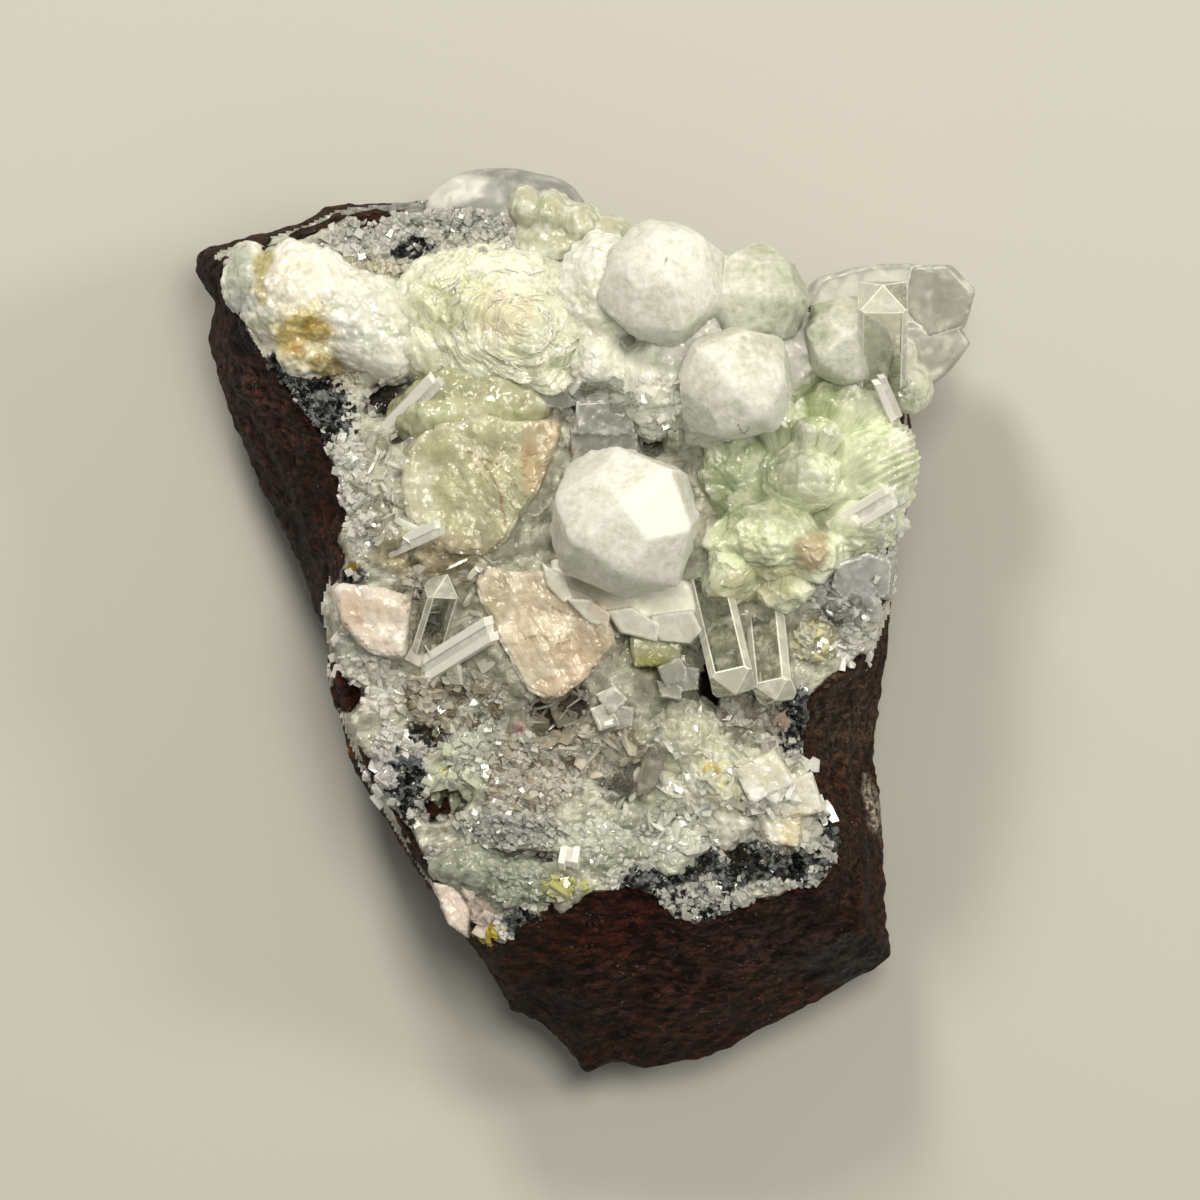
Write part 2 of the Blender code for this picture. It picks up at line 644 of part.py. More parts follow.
# Every piece: name, maker, colour, roughness, how clear. An earlier piece keeps its shape where two meet
PIECES = (
    ("apophyllite_stubby", stubby_prism, CLEAR, 0.08, 0.9),
    ("apophyllite_long", long_prism, CLEAR, 0.06, 0.9),
    ("apophyllite_small", small_prism, CLEAR, 0.08, 0.9),
    ("lath_upper", lath_upper, WHITE, 0.2, 0.4),
    ("lath_right_small", lath_right_small, WHITE, 0.2, 0.4),
    ("lath_left", lath_left, WHITE, 0.2, 0.4),
    ("lath_right", lath_right, WHITE, 0.2, 0.4),
    ("lath_lower", lath_lower, WHITE, 0.2, 0.4),
    ("lath_blade", lath_blade, WHITE, 0.2, 0.4),
    ("analcime_large", analcime_large, MILK, 0.3, 0.2),
    ("analcime_middle", analcime_middle, MILK, 0.35, 0.2),
    ("analcime_upper_pair", analcime_pair, MILK, 0.3, 0.2),
    ("analcime_right", analcime_right, MILK, 0.35, 0.2),
    ("apophyllite_pointed", pointed_prism, CLEAR, 0.1, 0.8),
    ("apophyllite_round_left", round_left, CLEAR, 0.1, 0.9),
    ("apophyllite_round_right", round_right, CLEAR, 0.1, 0.9),
    ("apophyllite_stepped", stepped_block, CLEAR, 0.1, 0.8),
    ("apophyllite_grey_facets", grey_facets, CLEAR, 0.15, 0.7),
    ("apophyllite_skirt", skirt, CLEAR, 0.1, 0.9),
    ("calcite_beige", calcite_beige, (0.62, 0.53, 0.41), 0.35, 0.3),
    ("calcite_large", calcite_large, (0.50, 0.49, 0.34), 0.25, 0.4),
    ("calcite_pink", calcite_pink, PINK, 0.35, 0.2),
    ("calcite_olive", calcite_olive, OLIVE, 0.3, 0.5),
    ("calcite_white_blocks", white_blocks, CREAM, 0.35, 0.1),
    ("calcite_pink_edge", pink_edge, PINK, 0.3, 0.3),
    ("clear_right_facets", right_facets, CLEAR, 0.2, 0.6),
    ("prehnite_rosette", rosette, PALE_GREEN, 0.3, 0.2),
    ("prehnite_cream_ball", cream_ball, CREAM, 0.4, 0.1),
    ("prehnite_green_cluster", green_cluster, PALE_GREEN, 0.35, 0.2),
    ("prehnite_top_lobes", top_lobes, PALE_GREEN, 0.3, 0.2),
    ("prehnite_back_cluster", back_cluster, PALE_GREEN, 0.4, 0.2),
    ("prehnite_band", band, PALE_GREEN, 0.25, 0.3),
    ("prehnite_lower_mass", lower_mass, CREAM, 0.4, 0.1),
    ("prehnite_lower_crust", lower_crust, PALE_GREEN, 0.3, 0.2),
    ("prehnite_lower_left", lower_left, PALE_GREEN, 0.35, 0.2),
    ("prehnite_edge_lumps", edge_lumps, PALE_GREEN, 0.3, 0.2),
    ("smoky_cluster", smoky_cluster, (0.40, 0.38, 0.36), 0.15, 0.8),
    ("clear_dome", dome, (0.62, 0.63, 0.60), 0.2, 0.6),
    ("drusy_crust", crust, (0.45, 0.44, 0.40), 0.5, 0.0),
    ("basalt_matrix", basalt, (0.06, 0.028, 0.02), 0.8, 0.0),
)


def main():
    clear_scene()
    collection(PARTS)
    cutters = collection(CUTTERS)
    specimen = bpy.data.objects.new("specimen", None)
    bpy.data.collections[PARTS].objects.link(specimen)
    earlier = []
    for name, maker, colour, roughness, clearness in PIECES:
        piece = raw_object(name, maker(0.0), PARTS)
        for cutter in earlier:
            if near(piece, cutter):
                boolean(piece, cutter, "DIFFERENCE")
        keep_largest(piece)
        piece.data.materials.clear()
        piece.data.materials.append(mineral(name, colour, roughness, clearness))
        piece.parent = specimen
        cutter = raw_object(name + "_room", maker(ROOM), CUTTERS)
        cutter.hide_render = True
        cutter.display_type = "WIRE"
        earlier.append(cutter)
    for cutter in list(cutters.objects):
        cutter.hide_viewport = True


main()
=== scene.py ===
"""The looks of an analcime and prehnite specimen in a basalt pocket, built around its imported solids.

Shapes are worked out in millimetres and put on their objects in metres. The specimen lies on its back, +X is its
right, +Y its top end, and the camera looks straight down on it.
"""

import math

import bmesh
import bpy
import numpy as np
from bpy.props import FloatProperty, FloatVectorProperty, IntProperty, PointerProperty
from mathutils import Matrix, Vector
from mathutils.bvhtree import BVHTree


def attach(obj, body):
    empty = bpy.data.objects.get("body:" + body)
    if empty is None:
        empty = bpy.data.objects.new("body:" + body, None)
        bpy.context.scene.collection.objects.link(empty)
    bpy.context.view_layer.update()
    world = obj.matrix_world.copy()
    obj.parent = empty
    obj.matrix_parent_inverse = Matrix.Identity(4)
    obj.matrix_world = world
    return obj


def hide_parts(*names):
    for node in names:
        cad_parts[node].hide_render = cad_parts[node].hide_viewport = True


bl_info = {
    "name": "Analcime and prehnite specimen",
    "version": (1, 0, 0),
    "blender": (4, 5, 0),
    "location": "View3D > Sidebar > Specimen",
    "description": "Builds the minerals, the basalt and the stage of one specimen around its solids",
    "category": "Add Mesh",
}

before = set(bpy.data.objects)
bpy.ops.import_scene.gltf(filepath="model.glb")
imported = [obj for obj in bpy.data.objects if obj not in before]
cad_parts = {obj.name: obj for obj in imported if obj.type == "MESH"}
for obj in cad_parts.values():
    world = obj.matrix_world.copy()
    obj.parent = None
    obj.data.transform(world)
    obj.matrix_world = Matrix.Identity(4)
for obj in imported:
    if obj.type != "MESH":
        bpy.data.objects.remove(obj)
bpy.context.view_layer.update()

MM = 0.001
BODY = "root"
PHOTO_SIDE = 1200
MM_PER_PIXEL = 0.085
SPECIMEN_MIDDLE_PIXEL = (581.5, 624.5)

# The basalt's outline, anticlockwise from the right end: the widest edge, and the pocket's rim with its height
ROCK_EDGE = np.array((
    (28.3, 19.1, 27.0, 19.0, 20.0),
    (27.1, 25.0, 25.6, 24.0, 19.0),
    (22.8, 27.6, 21.8, 26.2, 19.0),
    (18.6, 28.6, 17.8, 27.2, 19.0),
    (12.6, 30.6, 11.8, 29.2, 19.0),
    (6.7, 32.9, 6.2, 31.4, 19.0),
    (1.6, 34.6, 1.4, 33.2, 19.0),
    (-3.1, 35.8, -3.2, 34.6, 19.0),
    (-9.5, 36.8, -9.5, 35.6, 19.0),
    (-15.4, 36.3, -15.2, 35.2, 19.4),
    (-22.1, 36.2, -20.6, 34.6, 19.6),
    (-23.9, 34.7, -22.8, 33.4, 19.6),
    (-29.0, 33.4, -27.4, 32.0, 18.6),
    (-32.9, 32.2, -30.6, 31.4, 17.0),
    (-33.5, 30.5, -31.0, 30.0, 17.0),
    (-31.6, 27.6, -29.4, 27.2, 18.6),
    (-32.2, 24.6, -28.4, 24.6, 20.6),
    (-31.8, 22.1, -26.6, 22.0, 21.6),
    (-29.9, 16.4, -21.9, 15.6, 22.8),
    (-27.6, 11.6, -20.1, 11.0, 23.2),
    (-24.5, 5.5, -20.2, 5.2, 23.0),
    (-23.2, 1.2, -21.3, 1.6, 21.6),
    (-21.5, -1.7, -20.7, -1.6, 20.4),
    (-21.8, -4.3, -20.8, -4.4, 20.0),
    (-21.2, -7.2, -19.9, -7.2, 20.0),
    (-19.5, -12.8, -18.0, -12.4, 20.0),
    (-17.1, -16.8, -15.8, -16.2, 19.6),
    (-13.9, -21.7, -12.9, -21.0, 19.0),
    (-10.8, -26.1, -9.9, -25.2, 18.4),
    (-7.0, -31.2, -6.6, -27.6, 18.8),
    (-6.1, -33.6, -5.2, -26.0, 19.6),
    (-3.5, -34.7, -3.6, -25.0, 20.4),
    (-1.4, -36.5, -1.6, -24.1, 20.8),
    (0.4, -39.0, 0.9, -23.3, 21.2),
    (2.7, -37.9, 3.4, -22.4, 21.4),
    (5.4, -38.7, 5.8, -22.7, 21.4),
    (10.1, -37.7, 8.2, -25.2, 21.0),
    (14.3, -36.0, 10.6, -25.4, 20.8),
    (18.6, -33.3, 13.8, -24.0, 20.8),
    (23.2, -31.2, 16.6, -23.1, 20.8),
    (26.9, -28.7, 19.9, -22.6, 20.4),
    (26.2, -24.0, 21.6, -20.4, 20.4),
    (26.3, -19.6, 21.8, -17.6, 20.6),
    (26.0, -15.4, 19.6, -14.0, 21.0),
    (25.2, -11.6, 18.8, -10.6, 21.4),
    (25.7, -7.6, 19.2, -6.2, 21.2),
    (26.3, -3.0, 23.6, -3.4, 20.6),
    (26.6, 1.4, 25.4, 1.2, 20.4),
    (26.9, 5.5, 25.8, 5.4, 20.4),
    (27.8, 9.4, 26.8, 9.4, 20.4),
    (28.6, 13.6, 27.2, 13.6, 20.2),
))
ROCK_MIDDLE = np.array((-1.0, 2.0))
EQUATOR = 8.0
LOWER_EDGE = 3.2
POCKET_FLOOR = 16.5


# Small shared tools


def hex_colour(code):
    """A colour written as sRGB hex, as linear red, green, blue and full alpha."""
    parts = [int(code[i:i + 2], 16) / 255.0 for i in (1, 3, 5)]
    linear = [p / 12.92 if p <= 0.04045 else ((p + 0.055) / 1.055) ** 2.4 for p in parts]
    return (*linear, 1.0)


def rgb(code):
    return np.array(hex_colour(code)[:3])


def per_mm(size):
    """A texture's scale whose pattern repeats about every size millimetres."""
    return 1.0 / (size * MM)


def add(tree, kind, inputs=None, **settings):
    """Adds a node with its settings. An input is a value or the socket that feeds it."""
    made = tree.nodes.new(kind)
    for name, value in settings.items():
        setattr(made, name, value)
    for name, value in (inputs or {}).items():
        if isinstance(value, bpy.types.NodeSocket):
            tree.links.new(value, made.inputs[name])
        else:
            made.inputs[name].default_value = value
    return made


def finish_tree(name):
    """A new material with an empty tree and its output node."""
    material = bpy.data.materials.new(name)
    material.use_nodes = True
    tree = material.node_tree
    tree.nodes.clear()
    output = tree.nodes.new("ShaderNodeOutputMaterial")
    place = tree.nodes.new("ShaderNodeTexCoord").outputs["Object"]
    return material, tree, output, place


def smooth(low, high, value):
    share = np.clip((value - low) / (high - low), 0.0, 1.0)
    return share * share * (3.0 - 2.0 * share)


def from_photo(x, y):
    """A place in the photograph, in its pixels, as millimetres on the specimen."""
    return (x - SPECIMEN_MIDDLE_PIXEL[0]) * MM_PER_PIXEL, (SPECIMEN_MIDDLE_PIXEL[1] - y) * MM_PER_PIXEL


def within(points, spot, uneven=0.0, soft=0.28):
    """How much each point is in a spot, which is x, y, half width and half height in the photograph's pixels, and
    its turn in degrees."""
    x, y, wide, high, turn = spot[:5]
    middle = from_photo(x, y)
    c, s = math.cos(math.radians(turn)), math.sin(math.radians(turn))
    dx, dy = points[:, 0] - middle[0], points[:, 1] - middle[1]
    across = (dx * c + dy * s) / (wide * MM_PER_PIXEL)
    along = (-dx * s + dy * c) / (high * MM_PER_PIXEL)
    return 1.0 - smooth(1.0 - soft, 1.0 + soft, np.hypot(across, along) + uneven)


def scrambled(cells, seed):
    """One whole number for each lattice cell, the same for the same cell and seed."""
    x, y, z = (cells[..., axis] for axis in range(3))
    mixed = (x * 73856093) ^ (y * 19349663) ^ (z * 83492791) ^ (seed * 668265263)
    mixed = (mixed ^ (mixed >> 13)) * 1274126177
    mixed = mixed & 0x7FFFFFFF
    return (mixed ^ (mixed >> 15)) & 0xFFFFFF


def waves(points, size, seed):
    """Smooth random relief from about -1 to 1, whose swells are size apart."""
    scaled = points / size
    cells = np.floor(scaled).astype(np.int64)
    part = scaled - cells
    fade = part * part * part * (part * (part * 6.0 - 15.0) + 10.0)
    total = np.zeros(len(points))
    for corner in np.ndindex(2, 2, 2):
        step = np.array(corner)
        mixed = scrambled(cells + step, seed)
        slope = np.stack([mixed & 255, mixed >> 8 & 255, mixed >> 16 & 255], axis=1) / 127.5 - 1.0
        weight = np.prod(np.where(step, fade, 1.0 - fade), axis=1)
        total += np.einsum("ij,ij->i", slope, part - step) * weight
    return total


def fractal(points, size, octaves, seed):
    total = np.zeros(len(points))
    for octave in range(octaves):
        total += waves(points, size / 2.0**octave, seed + octave) / 2.0**octave
    return total


TURNS = [np.array(Matrix.Rotation(1.1 * k, 3, Vector((math.sin(k), math.cos(2.1 * k), 0.4)).normalized()))
         for k in range(16)]


def grains(points, size, seed, rounded):
    """Relief from 0 to 1 of close-set grains about size across: little domes, or turned cubes if not rounded."""
    scaled = points / size
    cells = np.floor(scaled - 0.5).astype(np.int64)
    turns = np.array(TURNS)
    best = np.full(len(points), -1.0)
    for corner in np.ndindex(2, 2, 2):
        cell = cells + np.array(corner)
        mixed = scrambled(cell, seed)
        jitter = np.stack([mixed & 255, mixed >> 8 & 255, mixed >> 16 & 255], axis=1) / 255.0
        offset = scaled - cell - 0.2 - 0.6 * jitter
        reach = 0.75 + 0.4 * (mixed & 63) / 63.0
        if rounded:
            away = np.einsum("ij,ij->i", offset, offset) / reach**2
        else:
            turned = np.einsum("ijk,ik->ij", turns[mixed >> 4 & 15], offset)
            away = np.abs(turned).max(axis=1) / reach * 1.35
        best = np.maximum(best, 1.0 - away)
    return np.clip(best, 0.0, 1.0)


def new_mesh(name, points, faces, tint=None, smooth_shaded=True):
    """An object from points in millimetres and faces of three or four corners, with its own colours if given."""
    mesh = bpy.data.meshes.new(name)
    mesh.vertices.add(len(points))
    mesh.vertices.foreach_set("co", (np.asarray(points) * MM).astype(np.float32).ravel())
    corners = np.concatenate([np.asarray(f).ravel() for f in faces])
    sizes = np.concatenate([np.full(len(f), np.asarray(f).shape[1]) for f in faces])
    mesh.loops.add(len(corners))
    mesh.loops.foreach_set("vertex_index", corners.astype(np.int32))
    mesh.polygons.add(len(sizes))
    starts = np.concatenate([[0], np.cumsum(sizes)[:-1]])
    mesh.polygons.foreach_set("loop_start", starts.astype(np.int32))
    mesh.update(calc_edges=True)
    mesh.polygons.foreach_set("use_smooth", np.full(len(sizes), smooth_shaded))
    if tint is not None:
        set_tint(mesh, tint)
    made = bpy.data.objects.new(name, mesh)
    bpy.context.scene.collection.objects.link(made)
    return made


def set_tint(mesh, tint):
    """Keeps a colour and an amount of dark grains (the fourth value) on each point."""
    layer = mesh.color_attributes.new("tint", "FLOAT_COLOR", "POINT")
    layer.data.foreach_set("color", tint.astype(np.float32).ravel())


def place_piece(made, material, slot, *nodes):
    """Gives a piece its finish, fixes it to the specimen and lets it stand for its solids."""
    made.data.materials.clear()
    made.data.materials.append(material)
    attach(made, BODY)
    if nodes:
        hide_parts(*nodes)


def painted(points, base, spots, seed, wobble=0.45):
    """Colours at the points: base with soft-edged spots. After its place a spot has its colour, its share and how
    many dark grains it holds."""
    colour = np.tile(np.append(rgb(base), 0.0), (len(points), 1))
    uneven = wobble * fractal(points, 2.0, 4, seed)
    for spot in spots:
        code, share, pepper = spot[5:]
        weight = (share * within(points, spot, uneven))[:, None]
        colour = colour * (1.0 - weight) + np.append(rgb(code), pepper) * weight
    return colour


def near_lines(points, lines, seed):
    """How much each point is on a thin line. A line is its width in millimetres and its places in the photograph."""
    drawn = np.zeros(len(points))
    flat = points[:, :2] + 0.18 * np.column_stack([waves(points, 0.9, seed), waves(points, 0.9, seed + 1)])
    for width, places in lines:
        corners = np.array([from_photo(*place) for place in places])
        for start, end in zip(corners[:-1], corners[1:]):
            along = np.clip((flat - start) @ (end - start) / ((end - start) @ (end - start)), 0.0, 1.0)
            away = np.linalg.norm(flat - start - along[:, None] * (end - start), axis=1)
            drawn = np.maximum(drawn, 1.0 - smooth(0.4 * width, width, away))
    return drawn * np.clip(0.8 + 0.9 * waves(points, 0.8, seed + 2), 0.0, 1.0)


# The basalt and the crust in its pocket


def rock_columns(count):
    """The outline's rows at evenly spaced places round the stone, with its corners worn a little."""
    closed = np.vstack([ROCK_EDGE, ROCK_EDGE[:1]])
    steps = np.linalg.norm(np.diff(closed[:, :2], axis=0), axis=1)
    along = np.concatenate([[0.0], np.cumsum(steps)])
    at = np.linspace(0.0, along[-1], count, endpoint=False)
    rows = np.stack([np.interp(at, along, closed[:, k]) for k in range(5)], axis=1)
    for _ in range(2):
        rows = (np.roll(rows, 1, axis=0) + 2.0 * rows + np.roll(rows, -1, axis=0)) / 4.0
    return rows


def rock_rings(columns):
    """The stone's outline at each of its levels, from the flat underside to the pocket's floor."""
    edge, rim, rim_height = columns[:, :2], columns[:, 2:4], columns[:, 4]

    def ring(share, weight, height):
        flat = ROCK_MIDDLE + (edge * (1.0 - weight) + rim * weight - ROCK_MIDDLE) * share
        return np.column_stack([flat, np.broadcast_to(height, len(flat))])

    return [
        ring(0.84, 0.0, 0.0),
        ring(0.95, 0.0, LOWER_EDGE),
        ring(1.0, 0.0, EQUATOR),
        ring(1.0, 0.42, EQUATOR + (rim_height - EQUATOR) * 0.55),
        ring(1.0, 1.0, rim_height),
        ring(0.9, 1.0, rim_height - 1.4),
        ring(0.6, 1.0, POCKET_FLOOR),
    ]


ROCK_ROWS = (12, 16, 30, 32, 6, 2)
ROCK_SPOTS = (
    (228, 370, 30, 44, -20, "#4E322B", 0.85, 0.2),
    (268, 420, 26, 60, 25, "#55362F", 0.8, 0.25),
    (243, 338, 15, 18, 10, "#1D1C20", 0.9, 0.6),
    (300, 520, 22, 90, 20, "#2E1812", 0.85, 0.2),
    (330, 560, 14, 60, 10, "#45231A", 0.8, 0.2),
    (202, 272, 20, 28, 0, "#2F1B18", 0.85, 0.3),
    (280, 240, 50, 12, 8, "#3A2318", 0.8, 0.1),
    (350, 700, 14, 50, 10, "#57261A", 0.8, 0.1),
    (350, 752, 4, 10, 10, "#B5651E", 0.95, 0.0),
    (360, 778, 9, 22, 15, "#120B0A", 0.95, 0.0),
    (390, 830, 12, 34, 25, "#57281A", 0.8, 0.1),
    (400, 850, 6, 6, 0, "#A8662A", 0.8, 0.0),
    (846, 720, 34, 48, 0, "#5C4636", 0.85, 0.65),
    (830, 720, 20, 40, 0, "#4C3B2E", 0.7, 0.7),
    (875, 806, 8, 30, 10, "#C9BBAE", 0.85, 0.35),
    (640, 920, 60, 30, 5, "#4A2019", 0.8, 0.1),
    (590, 1000, 70, 40, 0, "#3B241D", 0.8, 0.1),
    (700, 960, 60, 60, 20, "#442B24", 0.7, 0.15),
    (790, 930, 60, 50, 25, "#3C2A25", 0.8, 0.3),
    (850, 960, 44, 26, 10, "#34302F", 0.85, 0.3),
    (800, 880, 26, 16, 10, "#57291B", 0.7, 0.1),
    (540, 1010, 30, 30, 0, "#2D1B17", 0.7, 0.0),
)


def rock_mesh(settings):
    count = settings.columns
    rings = rock_rings(rock_columns(count))
    levels = np.concatenate([k + np.arange(n) / n for k, n in enumerate(ROCK_ROWS)] + [[len(ROCK_ROWS)]])
    below = np.minimum(levels.astype(int), len(rings) - 2)
    part = (levels - below)[:, None, None]
    grid = np.array([rings[k] for k in below]) * (1.0 - part) + np.array([rings[k + 1] for k in below]) * part
    for _ in range(3):
        grid[1:-1] = (grid[:-2] + 2.0 * grid[1:-1] + grid[2:]) / 4.0
    round_step = np.roll(grid, -1, axis=1) - np.roll(grid, 1, axis=1)
    up_step = np.gradient(grid, axis=0)
    normal = np.cross(round_step, up_step)
    normal /= np.linalg.norm(normal, axis=2, keepdims=True) + 1e-9
    flat = grid.reshape(-1, 3)
    turned = np.column_stack([0.82 * flat[:, 0] + 0.57 * flat[:, 1], -0.57 * flat[:, 0] + 0.82 * flat[:, 1],
                              flat[:, 2]])
    swell = fractal(flat, 8.0, 3, 11)
    chips = grains(flat + 0.8 * waves(flat, 3.0, 5)[:, None], 4.4, 17, False)
    ripples = fractal(turned * (0.45, 1.7, 1.2), 1.5, 4, 23)
    pits = grains(flat, 1.1, 31, True)
    calm = smooth(0.0, 1.2, np.abs(levels - 2.0)[:, None] * np.ones(count)).ravel() * 0.7 + 0.3
    depth = calm * (0.55 * swell + 0.9 * (chips - 0.45)) + settings.grit * ripples - 0.12 * pits
    ground = smooth(0.0, 2.4, flat[:, 2])
    flat = flat + normal.reshape(-1, 3) * (depth * ground)[:, None]
    flat[:, 2] = np.maximum(flat[:, 2], 0.0)
    rows = len(levels)
    index = np.arange(rows * count).reshape(rows, count)
    beside = np.roll(index, -1, axis=1)
    quads = np.stack([index[:-1], beside[:-1], beside[1:], index[1:]], axis=-1).reshape(-1, 4)
    under, over = len(flat), len(flat) + 1
    points = np.vstack([flat, flat[:count].mean(axis=0), flat[-count:].mean(axis=0)])
    under_fan = np.column_stack([beside[0], index[0], np.full(count, under)])
    over_fan = np.column_stack([index[-1], beside[-1], np.full(count, over)])
    tint = painted(points, settings_hex(settings.colour), ROCK_SPOTS, 7)
    # Painted shade and highlight: the colour is darkened in the ripples' troughs and in the pits, and lightened on the
    # ripples' crests.
    crests = np.append(np.clip(0.5 + 0.9 * ripples + 0.2 * swell - 0.25 * pits, 0.0, 1.0), (0.5, 0.5))
    tint[:, :3] *= (0.45 + 1.1 * crests)[:, None]
    return new_mesh("basalt_stone", points, [quads, under_fan, over_fan], tint)


def settings_hex(colour):
    """A colour property, which is linear, as sRGB hex."""
    srgb = [c * 12.92 if c <= 0.0031308 else 1.055 * c ** (1 / 2.4) - 0.055 for c in colour]
    return "#" + "".join(f"{round(255 * min(max(c, 0.0), 1.0)):02X}" for c in srgb)


def pocket(x, y):
    """Where a place is in the pocket: its share of the way to the rim, millimetres inside it, the rim's height."""
    columns = rock_columns(720)
    rim = columns[:, 2:4] - ROCK_MIDDLE
    angles = np.arctan2(rim[:, 1], rim[:, 0])
    order = np.argsort(angles)
    here = np.arctan2(y - ROCK_MIDDLE[1], x - ROCK_MIDDLE[0])
    reach = np.interp(here, angles[order], np.hypot(rim[:, 0], rim[:, 1])[order], period=2.0 * math.pi)
    height = np.interp(here, angles[order], columns[order, 4], period=2.0 * math.pi)
    away = np.hypot(x - ROCK_MIDDLE[0], y - ROCK_MIDDLE[1])
    return away / reach, reach - away, height


# Holes in the crust: place, half sizes and turn as for a spot, depth in millimetres
HOLLOWS = (
    (388, 398, 26, 15, 30, 3.4),
    (414, 424, 28, 7, 42, 2.6),
    (708, 690, 9, 44, 8, 4.4),
    (695, 648, 10, 7, 0, 2.6),
    (518, 856, 38, 6, -2, 2.0),
    (650, 432, 14, 22, 20, 3.4),
    (558, 708, 32, 22, 35, 3.2),
    (444, 804, 26, 15, 25, 2.6),
    (345, 696, 17, 16, 0, 2.2),
    (428, 735, 20, 12, -20, 1.6),
    (735, 852, 16, 12, 0, 1.4),
    (428, 610, 10, 22, 15, 1.8),
)

# Places where the crust stands higher, against the large crystals, given as the holes are
RISES = (
    (484, 492, 106, 86, 0, 3.2),
    (545, 640, 84, 70, -10, 2.8),
    (374, 622, 50, 40, 0, 1.0),
    (690, 380, 70, 70, 0, 2.4),
    (630, 420, 60, 40, 0, 1.6),
    (400, 560, 60, 36, -10, 1.6),
    (860, 590, 50, 40, 0, 1.2),
    (620, 712, 60, 44, 0, 1.4),
    (600, 310, 40, 60, 0, 2.4),
)
